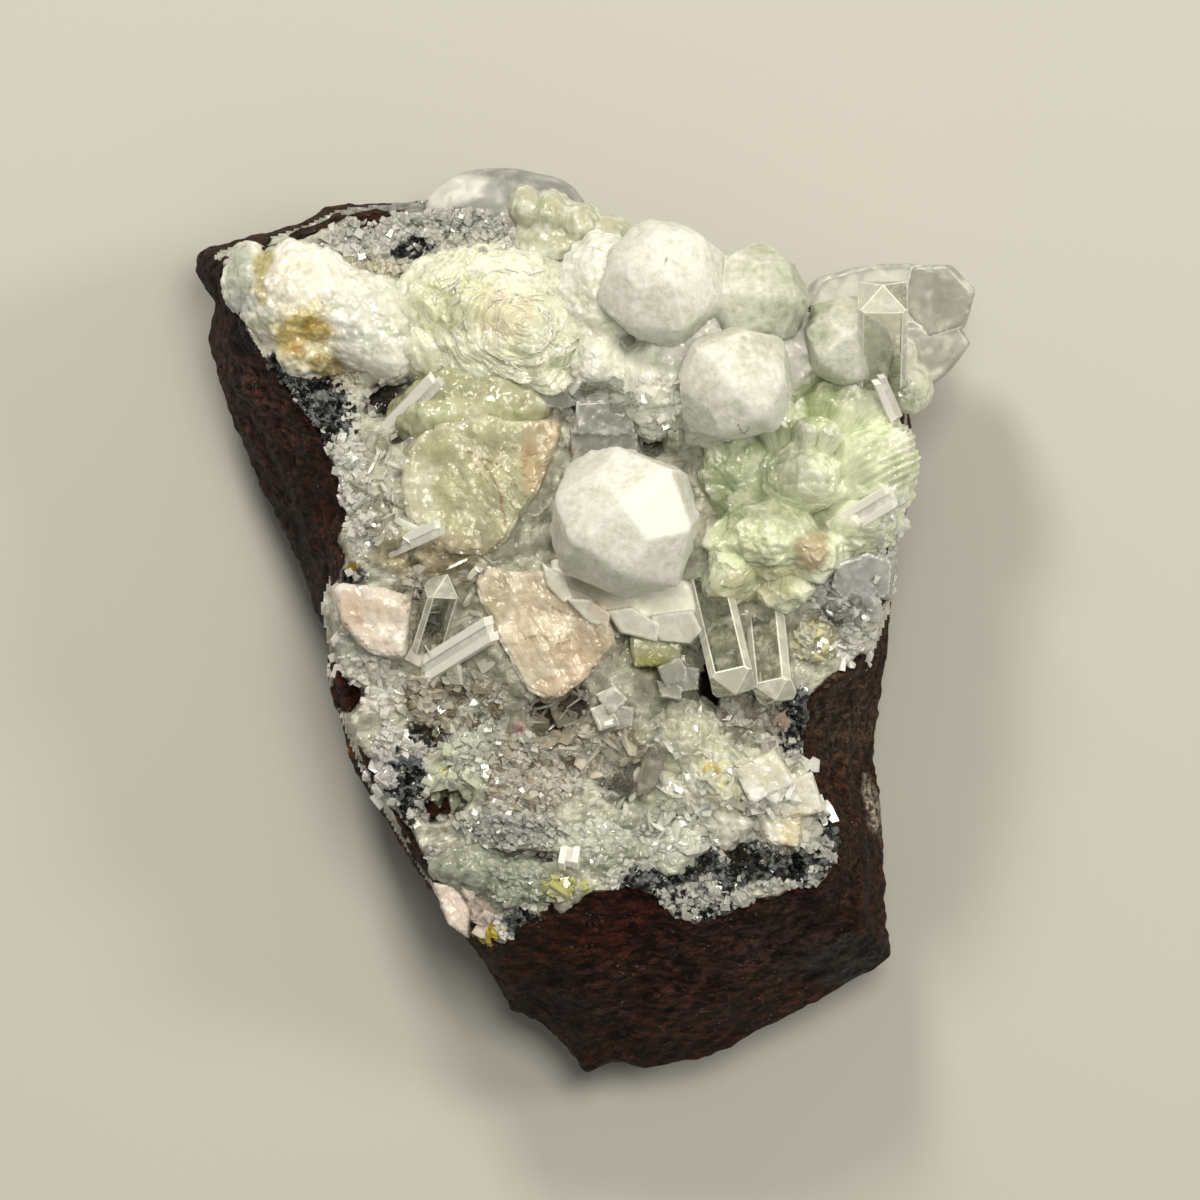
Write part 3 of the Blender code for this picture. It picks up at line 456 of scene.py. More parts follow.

# Spots of the crust's own colours and dark grains. The near black ones that lie over the holes are painted shade in
# them.
CRUST_SPOTS = (
    (420, 218, 95, 20, -3, "#8B8E8C", 0.9, 0.4),
    (380, 240, 50, 18, 0, "#B0B2AC", 0.8, 0.35),
    (416, 249, 24, 13, 0, "#3A3337", 0.9, 0.85),
    (331, 242, 14, 9, 0, "#8F8687", 0.8, 0.15),
    (381, 267, 28, 8, -5, "#A08F45", 0.6, 0.3),
    (470, 252, 30, 9, 0, "#CCD0C2", 0.8, 0.15),
    (313, 400, 62, 30, -50, "#7D8283", 0.95, 0.95),
    (283, 372, 22, 12, -40, "#2A2C30", 0.85, 0.9),
    (340, 372, 26, 16, -45, "#9A8430", 0.75, 0.45),
    (350, 452, 14, 22, 20, "#A2A69E", 0.8, 0.5),
    # Painted shade in a hole.
    (384, 398, 26, 15, 30, "#3A2A20", 0.9, 0.4),
    # Painted shade in a hole.
    (412, 424, 28, 7, 42, "#2B221A", 0.9, 0.2),
    (356, 500, 18, 60, 10, "#C9CCC4", 0.9, 0.2),
    (366, 540, 12, 14, 0, "#E9E9E2", 0.8, 0.05),
    (430, 560, 60, 24, -10, "#C2B596", 0.85, 0.02),
    (352, 578, 15, 13, 0, "#3F4344", 0.9, 0.85),
    (354, 568, 7, 6, 0, "#B79A12", 0.95, 0.0),
    (424, 610, 14, 40, 15, "#8A7A5C", 0.8, 0.3),
    (362, 655, 34, 26, 0, "#D9DCD2", 0.9, 0.05),
    (383, 695, 24, 28, 0, "#ECE8DE", 0.9, 0.05),
    # Painted shade in a hole.
    (345, 696, 17, 16, 0, "#2C1A16", 0.95, 0.1),
    (382, 768, 13, 38, -5, "#C6C4C7", 0.9, 0.1),
    (400, 738, 28, 13, 20, "#DDDBD8", 0.9, 0.35),
    (408, 780, 20, 34, 0, "#8B9092", 0.9, 0.9),
    # Painted shade in a hole, with dark grains.
    (428, 735, 22, 15, -20, "#2E2A26", 0.85, 0.7),
    # Painted shade in a hole.
    (444, 804, 26, 17, 25, "#231E1A", 0.95, 0.3),
    (450, 702, 50, 32, 0, "#A5946F", 0.9, 0.3),
    (446, 706, 20, 12, 0, "#5A4A30", 0.6, 0.5),
    (458, 774, 30, 38, -35, "#C5CCB0", 0.9, 0.1),
    (447, 772, 6, 8, 0, "#C9C25A", 0.8, 0.0),
    (476, 740, 26, 40, 0, "#B3BCA8", 0.85, 0.25),
    (525, 775, 44, 40, 0, "#A0937F", 0.9, 0.3),
    (520, 726, 6, 8, 0, "#D0A0A0", 0.6, 0.0),
    # Painted shade in a hole, with dark grains.
    (556, 705, 34, 30, 35, "#6B5F4C", 0.9, 0.4),
    (508, 829, 52, 18, -4, "#767A74", 0.9, 0.45),
    # Painted shade in a hole.
    (518, 856, 38, 6, -2, "#2B2724", 0.85, 0.3),
    (470, 876, 26, 22, 0, "#A89C8E", 0.9, 0.2),
    (524, 886, 36, 28, 0, "#8F9889", 0.9, 0.1),
    (428, 864, 16, 17, -40, "#857A7B", 0.9, 0.2),
    (563, 892, 24, 8, 3, "#A6A355", 0.9, 0.15),
    (468, 920, 24, 28, 0, "#D8C6BC", 0.85, 0.05),
    (480, 938, 15, 12, 0, "#B79A12", 0.95, 0.0),
    (527, 925, 24, 17, 0, "#8E918F", 0.9, 0.9),
    (640, 840, 80, 32, 3, "#B4BDAA", 0.9, 0.12),
    (700, 868, 60, 14, -3, "#9AA092", 0.85, 0.5),
    (742, 864, 64, 25, 3, "#3F443C", 0.9, 0.85),
    (678, 893, 20, 9, 0, "#E6E8E6", 0.9, 0.3),
    (655, 880, 40, 13, 0, "#5C615E", 0.85, 0.85),
    (695, 906, 52, 18, 0, "#6A6E66", 0.85, 0.7),
    # Painted shade in a hole, with dark grains.
    (735, 852, 18, 14, 0, "#4B4326", 0.8, 0.6),
    (840, 815, 24, 36, 10, "#3D4244", 0.9, 0.9),
    (812, 862, 30, 20, 20, "#5A605E", 0.85, 0.8),
    (808, 712, 32, 26, 0, "#4A4D4E", 0.9, 0.95),
    (790, 745, 18, 18, 0, "#6D6A66", 0.8, 0.8),
    (765, 728, 14, 20, 0, "#D6D0C8", 0.85, 0.1),
    (780, 718, 10, 9, 0, "#A0601A", 0.95, 0.2),
    (752, 758, 28, 24, 0, "#D9DACB", 0.9, 0.1),
    (815, 640, 22, 20, 0, "#B3AE78", 0.85, 0.15),
    (857, 645, 26, 23, 0, "#EDEEE6", 0.95, 0.05),
    (850, 595, 38, 30, 0, "#8E9294", 0.9, 0.2),
    (893, 560, 15, 40, 0, "#C3C6C5", 0.85, 0.45),
    (905, 505, 12, 26, 0, "#C6C8C8", 0.85, 0.5),
    (600, 400, 50, 26, 0, "#A6A99F", 0.85, 0.2),
    (660, 400, 42, 42, 0, "#D2D6C6", 0.85, 0.05),
    # Painted shade in a hole.
    (650, 432, 13, 18, 20, "#3B3B36", 0.9, 0.3),
    (655, 648, 34, 24, 0, "#9A9C62", 0.8, 0.1),
    (640, 620, 50, 20, -15, "#B9BBAA", 0.8, 0.1),
    (680, 735, 42, 34, 0, "#AEB29B", 0.9, 0.1),
    (742, 715, 26, 24, 0, "#B5B2A6", 0.85, 0.15),
    # Painted shade in a hole.
    (708, 690, 8, 42, 8, "#3A2C1A", 0.95, 0.2),
    (726, 775, 30, 40, 30, "#D9D9A8", 0.85, 0.05),
    (711, 770, 9, 10, 0, "#B89A3A", 0.85, 0.1),
    (600, 745, 42, 22, 0, "#AFA286", 0.85, 0.25),
    (625, 779, 30, 20, 0, "#8D8B80", 0.9, 0.15),
)

CRUST_FLOOR = 20.8



def crust_height(x, y):
    """The crust's top and what lies on it: its height, and its relief from 0 in a crack to 1 on a crest."""
    share, inside, rim_height = pocket(x, y)
    points = np.column_stack([x, y, np.zeros(len(x))])
    up = smooth(0.55, 0.95, share)
    height = CRUST_FLOOR * (1.0 - up) + (rim_height + 0.2) * up
    coarse = grains(points + 0.4 * waves(points, 2.0, 3)[:, None], 3.0, 51, False)
    middling = grains(points, 1.3, 61, False)
    fine = grains(points, 0.62, 71, False)
    granular = painted(points, "#FFFFFF", CRUST_SPOTS, 77)[:, 3] > 0.1
    fine = fine * (0.35 + 0.65 * granular)
    relief = 0.4 * coarse + 0.35 * middling + 0.3 * fine
    height = height + 1.4 * (coarse - 0.5) + 0.7 * middling + 0.3 * fine + 0.5 * waves(points, 7.0, 81)
    uneven = 0.25 * waves(points, 1.6, 91)
    for rise in RISES:
        height = height + rise[5] * within(points, rise, uneven, 0.45)
    for hollow in HOLLOWS:
        hole = within(points, hollow, uneven)
        height = height - hollow[5] * hole
        # Low relief in the holes also gives them painted shade, since the crust's colour darkens with low relief.
        relief = relief * (1.0 - 0.8 * hole)
    ragged = inside + 0.9 * fractal(points, 3.0, 4, 101)
    height = height - 3.4 * (1.0 - smooth(-0.6, 0.5, ragged))
    return height, relief, inside


def crust_mesh(settings):
    low = ROCK_EDGE[:, 2:4].min(axis=0) - 1.5
    high = ROCK_EDGE[:, 2:4].max(axis=0) + 1.5
    xs = np.arange(low[0], high[0], settings.step / MM)
    ys = np.arange(low[1], high[1], settings.step / MM)
    x, y = (axis.ravel() for axis in np.meshgrid(xs, ys, indexing="ij"))
    height, relief, inside = crust_height(x, y)
    points = np.column_stack([x, y, height])
    index = np.arange(len(x)).reshape(len(xs), len(ys))
    quads = np.stack([index[:-1, :-1], index[1:, :-1], index[1:, 1:], index[:-1, 1:]], axis=-1).reshape(-1, 4)
    quads = quads[(inside[quads] > -1.0).all(axis=1)]
    tint = painted(points, settings_hex(settings.colour), CRUST_SPOTS, 77)
    streaks = fractal(points * (0.5, 1.6, 1.0) + 0.8 * waves(points, 2.0, 103)[:, None], 1.2, 3, 105)
    # Painted shade and highlight: the colour is darkened where the relief is low, in cracks and holes, and painted near
    # white on the crests, less where dark grains lie. The streaks are the crust's own tone.
    crest = (smooth(0.62, 0.9, relief) * (0.75 - 0.6 * np.clip(tint[:, 3], 0.0, 1.0)))[:, None]
    tint[:, :3] *= (0.62 + 0.5 * relief + 0.35 * streaks)[:, None]
    tint[:, :3] = np.clip(tint[:, :3] * (1.0 - crest) + rgb("#F6F6EE") * crest, 0.0, 1.0)
    used, renumbered = np.unique(quads, return_inverse=True)
    made = new_mesh("drusy_lining", points[used], [renumbered.reshape(-1, 4)], tint[used], False)
    close_below(made, POCKET_FLOOR - 2.0)
    return made


def facet_bump(tree, place, size, depth, under=None):
    """Relief as of close-set flat facets that each lean their own way, for glints finer than the mesh."""
    cells = add(tree, "ShaderNodeTexVoronoi", {"Vector": place, "Scale": per_mm(size)})
    lean = add(tree, "ShaderNodeVectorMath", {0: cells.outputs["Color"], 1: (0.5, 0.5, 0.5)}, operation="SUBTRACT")
    away = add(tree, "ShaderNodeVectorMath", {0: place, 1: cells.outputs["Position"]}, operation="SUBTRACT")
    height = add(tree, "ShaderNodeVectorMath", {0: lean.outputs["Vector"], 1: away.outputs["Vector"]},
                 operation="DOT_PRODUCT")
    links = {"Height": height.outputs["Value"], "Distance": 1.0, "Strength": depth}
    if under is not None:
        links["Normal"] = under
    return add(tree, "ShaderNodeBump", links).outputs["Normal"]


def close_below(made, floor):
    """Gives a sheet walls that slope inwards to the floor and a flat underside, so that it is one closed body that
    ends inside the stone."""
    bm = bmesh.new()
    bm.from_mesh(made.data)
    rim = [edge for edge in bm.edges if edge.is_boundary]
    walls = bmesh.ops.extrude_edge_only(bm, edges=rim)
    low = [item for item in walls["geom"] if isinstance(item, bmesh.types.BMVert)]
    for vertex in low:
        vertex.co.x += (ROCK_MIDDLE[0] * MM - vertex.co.x) * 0.12
        vertex.co.y += (ROCK_MIDDLE[1] * MM - vertex.co.y) * 0.12
        vertex.co.z = floor * MM
    open_edges = [edge for edge in bm.edges if edge.is_boundary]
    bmesh.ops.triangle_fill(bm, edges=open_edges, use_beauty=False)
    bmesh.ops.recalc_face_normals(bm, faces=bm.faces)
    bm.to_mesh(made.data)
    bm.free()


# Masses of prehnite


def sphere_directions(detail, lift):
    """Even directions round a ball and its faces, with more of them looking up as lift grows."""
    bm = bmesh.new()
    bmesh.ops.create_icosphere(bm, subdivisions=detail, radius=1.0)
    rays = np.array([v.co for v in bm.verts])
    faces = np.array([[v.index for v in f.verts] for f in bm.faces])
    bm.free()
    rays[:, 2] += lift
    return rays / np.linalg.norm(rays, axis=1, keepdims=True), faces


def lobed_reach(centre, rays, lobes, blend):
    """How far each ray goes from the centre before it leaves the last of the lobes. They melt into each other less
    as blend grows."""
    reach = np.full(len(rays), 1.0)
    for place, widths in lobes:
        offset = (centre - np.array(place)) / widths
        scaled = rays / widths
        a = (scaled * scaled).sum(axis=1)
        b = 2.0 * scaled @ offset
        c = offset @ offset - 1.0
        root = b * b - 4.0 * a * c
        far = np.where(root > 0.0, (-b + np.sqrt(np.maximum(root, 0.0))) / (2.0 * a), 0.0)
        reach = np.log(np.exp(blend * reach) + np.exp(blend * far)) / blend
    return reach - 0.3 / blend


# Each mass: its middle, its lobes, the kind of its surface, how finely it is drawn, how little its lobes melt
MASSES = {
    "prehnite_rosette": (
        (-6.8, 25.6, 19.0),
        (((-6.8, 25.8, 19.4), (8.6, 7.2, 6.4)), ((-12.0, 27.2, 19.0), (4.4, 4.8, 5.4)),
         ((-2.6, 22.6, 20.0), (4.2, 4.4, 5.4)), ((-13.6, 23.4, 19.0), (3.6, 3.2, 4.6))),
        "rosette", 7, 1.4),
    "prehnite_cream_ball": (
        (-22.6, 27.0, 17.8),
        (((-23.6, 27.4, 17.6), (5.8, 5.4, 6.8)), ((-18.6, 25.6, 18.2), (4.8, 4.8, 5.6)),
         ((-28.2, 29.4, 16.4), (2.4, 3.2, 4.4)), ((-23.4, 23.0, 18.4), (3.0, 2.6, 4.2)),
         ((-16.2, 24.2, 18.8), (3.4, 3.8, 4.6))),
        "cream", 7, 1.6),
    "prehnite_green_cluster": (
        (18.4, 9.6, 18.6),
        (((15.4, 7.2, 20.4), (5.0, 3.7, 5.6)), ((12.6, 4.4, 19.8), (2.8, 3.0, 5.0)),
         ((19.6, 6.0, 19.8), (3.4, 2.6, 5.0)), ((13.0, 13.0, 19.6), (3.6, 4.2, 4.2)),
         ((19.0, 12.6, 20.2), (4.6, 3.2, 5.6)), ((24.8, 13.6, 19.6), (4.2, 4.6, 5.4)),
         ((19.2, 16.4, 20.4), (1.5, 1.4, 5.2)), ((21.0, 16.2, 20.4), (1.5, 1.4, 5.2)),
         ((22.6, 18.6, 19.0), (4.0, 3.4, 4.4)), ((23.6, 8.6, 19.2), (3.8, 2.8, 5.0)),
         ((17.6, 3.0, 19.0), (3.6, 2.2, 4.4)), ((16.6, 17.6, 18.6), (4.4, 3.2, 3.8))),
        "leafy", 7, 2.2),
    "prehnite_top_lobes": (
        (-1.6, 34.0, 17.8),
        (((-4.8, 35.4, 18.2), (1.5, 2.0, 3.6)), ((-2.6, 34.8, 18.4), (1.7, 2.2, 4.0)),
         ((-0.2, 34.0, 18.6), (1.9, 1.9, 4.0)), ((2.2, 33.2, 18.2), (2.2, 1.7, 3.6)),
         ((-2.6, 32.2, 18.0), (4.0, 2.4, 4.0))),
        "botryoidal", 6, 2.0),
    "prehnite_back_cluster": (
        (5.0, 24.6, 17.8),
        (((1.8, 28.4, 20.0), (4.0, 5.4, 6.4)), ((6.4, 20.0, 21.0), (4.6, 4.4, 6.0)),
         ((9.8, 25.0, 20.6), (5.8, 5.2, 5.8)), ((1.0, 22.4, 20.2), (3.4, 3.8, 5.6)),
         ((11.0, 17.4, 19.8), (3.6, 3.0, 5.4)), ((17.6, 23.0, 19.2), (4.0, 4.0, 4.6))),
        "sugary", 6, 1.4),
    "prehnite_band": (
        (-9.4, 18.4, 17.8),
        (((-12.0, 17.6, 19.4), (4.6, 3.2, 5.4)), ((-6.4, 18.6, 19.4), (5.0, 3.0, 5.2)),
         ((-9.6, 20.4, 19.0), (4.6, 2.6, 5.0))),
        "smooth", 6, 1.4),
    "prehnite_lower_mass": (
        (9.6, -12.0, 17.8),
        (((8.4, -9.4, 18.6), (3.8, 3.6, 4.8)), ((11.6, -13.2, 18.4), (4.0, 3.8, 5.0)),
         ((6.4, -13.8, 18.2), (3.4, 3.0, 4.4)), ((14.6, -11.6, 18.4), (3.0, 2.8, 4.8)),
         ((16.6, -14.4, 18.2), (3.4, 2.8, 4.8)), ((12.0, -17.0, 17.8), (3.4, 2.4, 4.2))),
        "sugary", 6, 1.8),
    "prehnite_lower_crust": (
        (5.0, -18.4, 17.4),
        (((1.6, -18.6, 18.0), (4.8, 3.2, 4.2)), ((7.8, -19.2, 18.0), (4.4, 3.0, 4.2))),
        "sugary", 6, 1.6),
    "prehnite_lower_left": (
        (-6.4, -21.6, 17.0),
        (((-9.6, -20.8, 17.4), (3.6, 2.6, 3.6)), ((-5.0, -22.0, 17.8), (3.6, 2.6, 3.6))),
        "sugary", 6, 1.6),
    "prehnite_edge_lumps": (
        (27.6, 21.2, 18.0),
        (((28.0, 20.2, 18.4), (1.9, 2.2, 3.8)), ((27.0, 23.0, 18.4), (1.6, 1.6, 4.0))),
        "botryoidal", 5, 2.4),
}

# Colours of each mass: a darker one painted into its cracks as shade, and its own paler one, kept on its crests
MASS_COLOURS = {
    "prehnite_rosette": ("#BEC496", "#F4F6E3"),
    "prehnite_cream_ball": ("#C4C2A6", "#FBFAF1"),
    "prehnite_green_cluster": ("#B0BF92", "#EAF0D8"),
    "prehnite_top_lobes": ("#949574", "#C6C7AE"),
    "prehnite_back_cluster": ("#E6EAD8", "#FFFFFB"),
    "prehnite_band": ("#8A8C6C", "#B6B798"),
    "prehnite_lower_mass": ("#B4B694", "#FBFBF2"),
    "prehnite_lower_crust": ("#8E9882", "#DCE0D2"),
    "prehnite_lower_left": ("#70786A", "#A8AEA0"),
    "prehnite_edge_lumps": ("#AAB68E", "#E8EDD8"),
}
MASS_SPOTS = (
    (505, 313, 32, 34, 0, "#EFE3C6", 0.6, 0.0),
    (520, 268, 46, 20, 0, "#F4F5EA", 0.6, 0.0),
    (450, 305, 36, 30, 0, "#E2E5BF", 0.6, 0.0),
    (552, 352, 34, 30, 0, "#DAE0C8", 0.5, 0.0),
    (240, 268, 16, 30, 0, "#C2CABD", 0.85, 0.0),
    (240, 302, 18, 12, 0, "#D3D7D3", 0.85, 0.3),
    (264, 262, 9, 20, -15, "#B0A55C", 0.8, 0.0),
    (262, 292, 7, 16, 10, "#B7A863", 0.7, 0.0),
    (300, 290, 30, 36, 0, "#FBF8EA", 0.8, 0.0),
    (262, 326, 14, 10, 0, "#B7BD9D", 0.7, 0.05),
    (264, 340, 12, 8, 0, "#EADEDB", 0.8, 0.0),
    (365, 320, 32, 45, 0, "#E4E8DF", 0.8, 0.0),
    (338, 325, 13, 13, 0, "#FDFDF9", 0.9, 0.0),
    (304, 338, 32, 34, -30, "#E6DAA6", 0.6, 0.0),
    (296, 334, 14, 24, -30, "#CDB352", 0.7, 0.0),
    (318, 330, 14, 11, -20, "#B59934", 0.8, 0.05),
    (299, 352, 8, 8, 20, "#B88A3C", 0.55, 0.05),
    (330, 368, 22, 13, -25, "#A18A38", 0.8, 0.2),
    (352, 378, 14, 10, 0, "#7F6C2C", 0.8, 0.4),
    (398, 326, 13, 10, 0, "#C2CBAE", 0.7, 0.0),
    # Painted shade over a low, shadowed part of the green mass.
    (817, 404, 24, 24, 0, "#A9B686", 0.8, 0.0),
    # Painted shade in a crevice between an analcime and the green mass.
    (768, 438, 30, 10, 30, "#94A072", 0.8, 0.1),
    (735, 468, 40, 24, 0, "#C2CEAB", 0.7, 0.0),
    (718, 496, 24, 28, 0, "#A6B58E", 0.8, 0.05),
    (762, 532, 52, 42, 28, "#DDE6C2", 0.7, 0.0),
    (805, 436, 13, 11, 0, "#E9EDE0", 0.9, 0.0),
    (828, 437, 12, 10, 0, "#E4E9DA", 0.9, 0.0),
    (885, 455, 40, 28, 0, "#E3EACB", 0.7, 0.0),
    (902, 442, 16, 14, 0, "#F6F7EE", 0.7, 0.0),
    (810, 552, 17, 22, -30, "#B8A283", 0.8, 0.0),
    (755, 586, 46, 20, 10, "#D0CEAA", 0.75, 0.0),
    (640, 380, 42, 40, 0, "#EEF1E4", 0.7, 0.0),
    (600, 310, 24, 40, 0, "#F0F3E0", 0.7, 0.0),
    (480, 430, 70, 30, 0, "#D0D2B2", 0.6, 0.0),
    (680, 735, 44, 34, 0, "#D0D3BF", 0.8, 0.0),
    (735, 772, 26, 36, -30, "#F3F3D2", 0.85, 0.0),
    (711, 770, 9, 10, 0, "#C9AE55", 0.7, 0.05),
    (776, 790, 34, 30, 0, "#FAFAF5", 0.85, 0.0),
    (802, 830, 26, 22, 0, "#EFE3BF", 0.8, 0.0),
    (640, 800, 34, 18, 0, "#E0E4CC", 0.7, 0.0),
    (742, 752, 18, 14, 0, "#EAEADD", 0.8, 0.0),
)


def surface_relief(kind, points):
    """The fine form of a mass: how far each point moves out, and its relief from 0 in a crack to 1 on a crest."""
    if kind == "rosette":
        return rosette_relief(points)
    if kind == "leafy":
        return leafy_relief(points)
    if kind == "cream":
        lumps = grains(points, 3.4, 121, False)
        folds = fractal(points, 2.2, 3, 127)
        crystals = grains(points, 1.1, 123, False)
        tiny = grains(points, 0.5, 125, False)
        relief = 0.3 + 0.2 * lumps + 0.3 * folds + 0.35 * crystals + 0.25 * tiny
        return 0.7 * (lumps - 0.5) + 0.3 * folds + 0.34 * crystals + 0.12 * tiny, np.clip(relief, 0.0, 1.0)
    if kind == "botryoidal":
        balls = grains(points, 1.9, 131, True)
        facets = grains(points, 0.9, 135, False)
        lift = 0.35 * (balls - 0.5) + 0.25 * facets + 0.05 * fractal(points, 0.8, 2, 133)
        return lift, 0.35 + 0.35 * balls + 0.4 * facets
    if kind == "smooth":
        folds = fractal(points + 0.9 * waves(points, 3.0, 143)[:, None], 2.4, 3, 141)
        plates = grains(points * (1.0, 0.6, 1.0), 2.4, 145, False)
        fine = grains(points, 0.8, 147, False)
        relief = 0.42 + 0.3 * folds + 0.35 * plates + 0.25 * fine
        return 0.25 * folds + 0.6 * (plates - 0.4) + 0.2 * fine, np.clip(relief, 0.0, 1.0)
    coarse = grains(points, 2.2, 151, False)
    fine = grains(points, 0.9, 153, False)
    tiny = grains(points, 0.45, 155, False)
    relief = 0.35 * coarse + 0.4 * fine + 0.45 * tiny
    return 0.9 * (coarse - 0.5) + 0.4 * fine + 0.14 * tiny, np.clip(relief, 0.0, 1.0)


# The rosette's plates: how far out each lies, where round the rosette it starts and ends, and its height
PETALS = tuple(
    (2.2 + 0.62 * k, -60.0 - 40.0 * math.sin(2.4 * k) - 20.0, 6.0 + 34.0 * math.sin(1.7 * k + 1.0), 0.4 + 0.2 * (k % 3))
    for k in range(10)
) + (
    (6.6, 112.0, 168.0, 0.7),
    (7.6, 118.0, 160.0, 0.6),
    (5.2, 150.0, 205.0, 0.5),
    (7.6, 190.0, 250.0, 0.6),
    (4.2, 200.0, 260.0, 0.5),
    (5.8, 225.0, 290.0, 0.6),
)


ROSETTE_MIDDLE = (-4.9, 25.4)


def rosette_relief(points):
    """Curved plates round the rosette's middle, each a thin edge that the surface falls away from, with fine
    streaks along them. The edges raise the relief, so they take a painted highlight."""
    x = points[:, 0] - ROSETTE_MIDDLE[0]
    y = (points[:, 1] - ROSETTE_MIDDLE[1]) * 1.16
    angle = np.degrees(np.arctan2(y, x))
    away = np.hypot(x, y) + 1.7 * waves(points, 5.0, 161) + 0.5 * waves(points, 2.0, 163)
    lift = np.zeros(len(points))
    edge = np.zeros(len(points))
    for reach, start, end, high in PETALS:
        turn = np.abs((angle - (start + end) / 2.0 + 180.0) % 360.0 - 180.0) / ((end - start) / 2.0)
        here = 1.0 - smooth(0.5, 1.05, turn + 0.4 * waves(points, 1.8, 165))
        gap = reach * (1.0 - 0.1 * turn**2) - away
        lift += high * here * np.where(gap > 0.0, np.exp(-np.maximum(gap, 0.0) / 1.1), 0.0)
        edge = np.maximum(edge, here * np.exp(-((gap - 0.08) / 0.11) ** 2))
    streaks = fractal(np.column_stack([away * 2.4, np.radians(angle) * away * 0.3, points[:, 2]]), 1.0, 3, 191)
    sugar = grains(points, 0.5, 167, False)
    lumps = grains(points + 0.8 * waves(points, 2.6, 193)[:, None], 3.6, 195, False)
    upper = smooth(1.5, 4.5, y)
    swell = waves(points, 4.6, 169)
    relief = 0.45 + 0.3 * edge + 0.14 * swell + 0.5 * streaks + 0.25 * lumps + (0.05 + 0.4 * upper) * (sugar - 0.4)
    lift = 0.6 * lift + 0.35 * swell + 0.18 * streaks + 1.0 * (lumps - 0.5)
    return lift + (0.03 + 0.2 * upper) * sugar - 0.3, np.clip(relief, 0.0, 1.0)


def leafy_relief(points):
    """Lobes of small flat-faced leaves, with parallel plates at the specimen's right edge."""
    x, y = points[:, 0], points[:, 1]
    blocks = grains(points + 0.8 * waves(points, 3.0, 171)[:, None], 4.2, 173, False)
    lumps = grains(points + 0.5 * waves(points, 2.2, 175)[:, None], 2.4, 183, False)
    fan = (y * 0.90 - x * 0.43) / 0.62 + 0.45 * waves(points, 3.4, 177)
    ridge = 1.0 - np.abs(2.0 * (fan - np.floor(fan)) - 1.0)
    ridged = smooth(21.4, 24.0, x) * smooth(10.6, 11.8, y) * (1.0 - smooth(17.4, 18.8, y))
    ridged = ridged * (0.45 + 0.55 * smooth(-0.2, 0.25, waves(points, 2.4, 187)))
    leaves = grains(points * (1.0, 1.0, 1.6) + 0.3 * waves(points, 1.4, 185)[:, None], 1.5, 181, False)
    sugar = grains(points, 0.6, 179, False)
    grainy = np.clip(1.0 - ridged, 0.15, 1.0)
    lift = 1.1 * (blocks - 0.5) + 0.8 * (lumps - 0.4) + 0.34 * ridge**2 * ridged + grainy * (0.5 * leaves + 0.16 * sugar)
    relief = 0.05 + 0.2 * blocks + 0.3 * lumps + 0.5 * ridge**2 * ridged + grainy * (0.5 * leaves + 0.35 * sugar)
    return lift - 0.2, np.clip(relief, 0.0, 1.0)


# Greyer, greener places on the analcime crystals, as spots: the last number is how much
ANALCIME_SPOTS = (
    (775, 300, 44, 60, 0, 0.65),
    (838, 330, 36, 50, 0, 0.1),
    (700, 330, 30, 16, -20, 0.35),
    (560, 560, 24, 40, -20, 0.3),
    (690, 420, 16, 30, 20, 0.3),
)


def rosette_plates(tree):
    """Thin curved plates round the rosette's middle, nearly flush with it, paler along the edge as a painted highlight.
    """
    random = np.random.default_rng(431)
    points, faces, tints = [], [], []
    # Painted light: the top edge is near white as a highlight, and the foot a little darker as shade.
    foot, edge = rgb("#ECEFD8"), rgb("#FFFFFA")
    steps = 6
    for number in range(110):
        reach = random.uniform(1.6, 8.4)
        turn = math.radians(random.uniform(-150.0, 70.0) if number % 3 else random.uniform(70.0, 210.0))
        half = random.uniform(0.2, 0.8)
        high, thick = random.uniform(0.06, 0.2), random.uniform(0.08, 0.22)
        lean, slew = random.uniform(0.3, 1.3), math.radians(random.uniform(-40.0, 40.0))
        part = np.linspace(-1.0, 1.0, steps)
        ray = np.array((math.cos(turn), math.sin(turn) / 1.16))
        out = np.array((math.cos(turn + slew), math.sin(turn + slew)))
        along = np.array((-out[1], out[0]))
        bend = half**2 / max(reach, 2.0) * 0.5
        middle = np.array(ROSETTE_MIDDLE) + ray * reach + np.outer(part * half, along) - np.outer(part**2 * bend, out)
        height, _ = standing([tree], middle)
        if height.min() < CRUST_FLOOR + 1.0:
            continue
        rise = high * np.sqrt(np.clip(1.0 - part**2, 0.02, 1.0))
        for side, up in ((-1, -0.5), (1, -0.5), (1, 1.0), (-1, 1.0)):
            shift = side * thick / 2.0 * (1.0 if up < 0 else 0.5) + max(up, 0.0) * lean * rise
            flat = middle + np.outer(shift * np.ones(steps), out)
            points.append(np.column_stack([flat, height + up * rise]))
            tints.append(np.tile(np.append(foot if up < 0 else edge, 0.0), (steps, 1)))
        start = 4 * steps * (len(faces) // (4 * (steps - 1) + 2))
        for k in range(steps - 1):
            for row in range(4):
                a, b = start + row * steps + k, start + (row + 1) % 4 * steps + k
                faces.append((a, a + 1, b + 1, b))
        for k in (0, steps - 1):
            ends = [start + row * steps + k for row in range(4)]
            faces.append(tuple(ends if k == 0 else ends[::-1]))
    return new_mesh("rosette_plates", np.vstack(points), [np.array(faces)], np.vstack(tints), False)


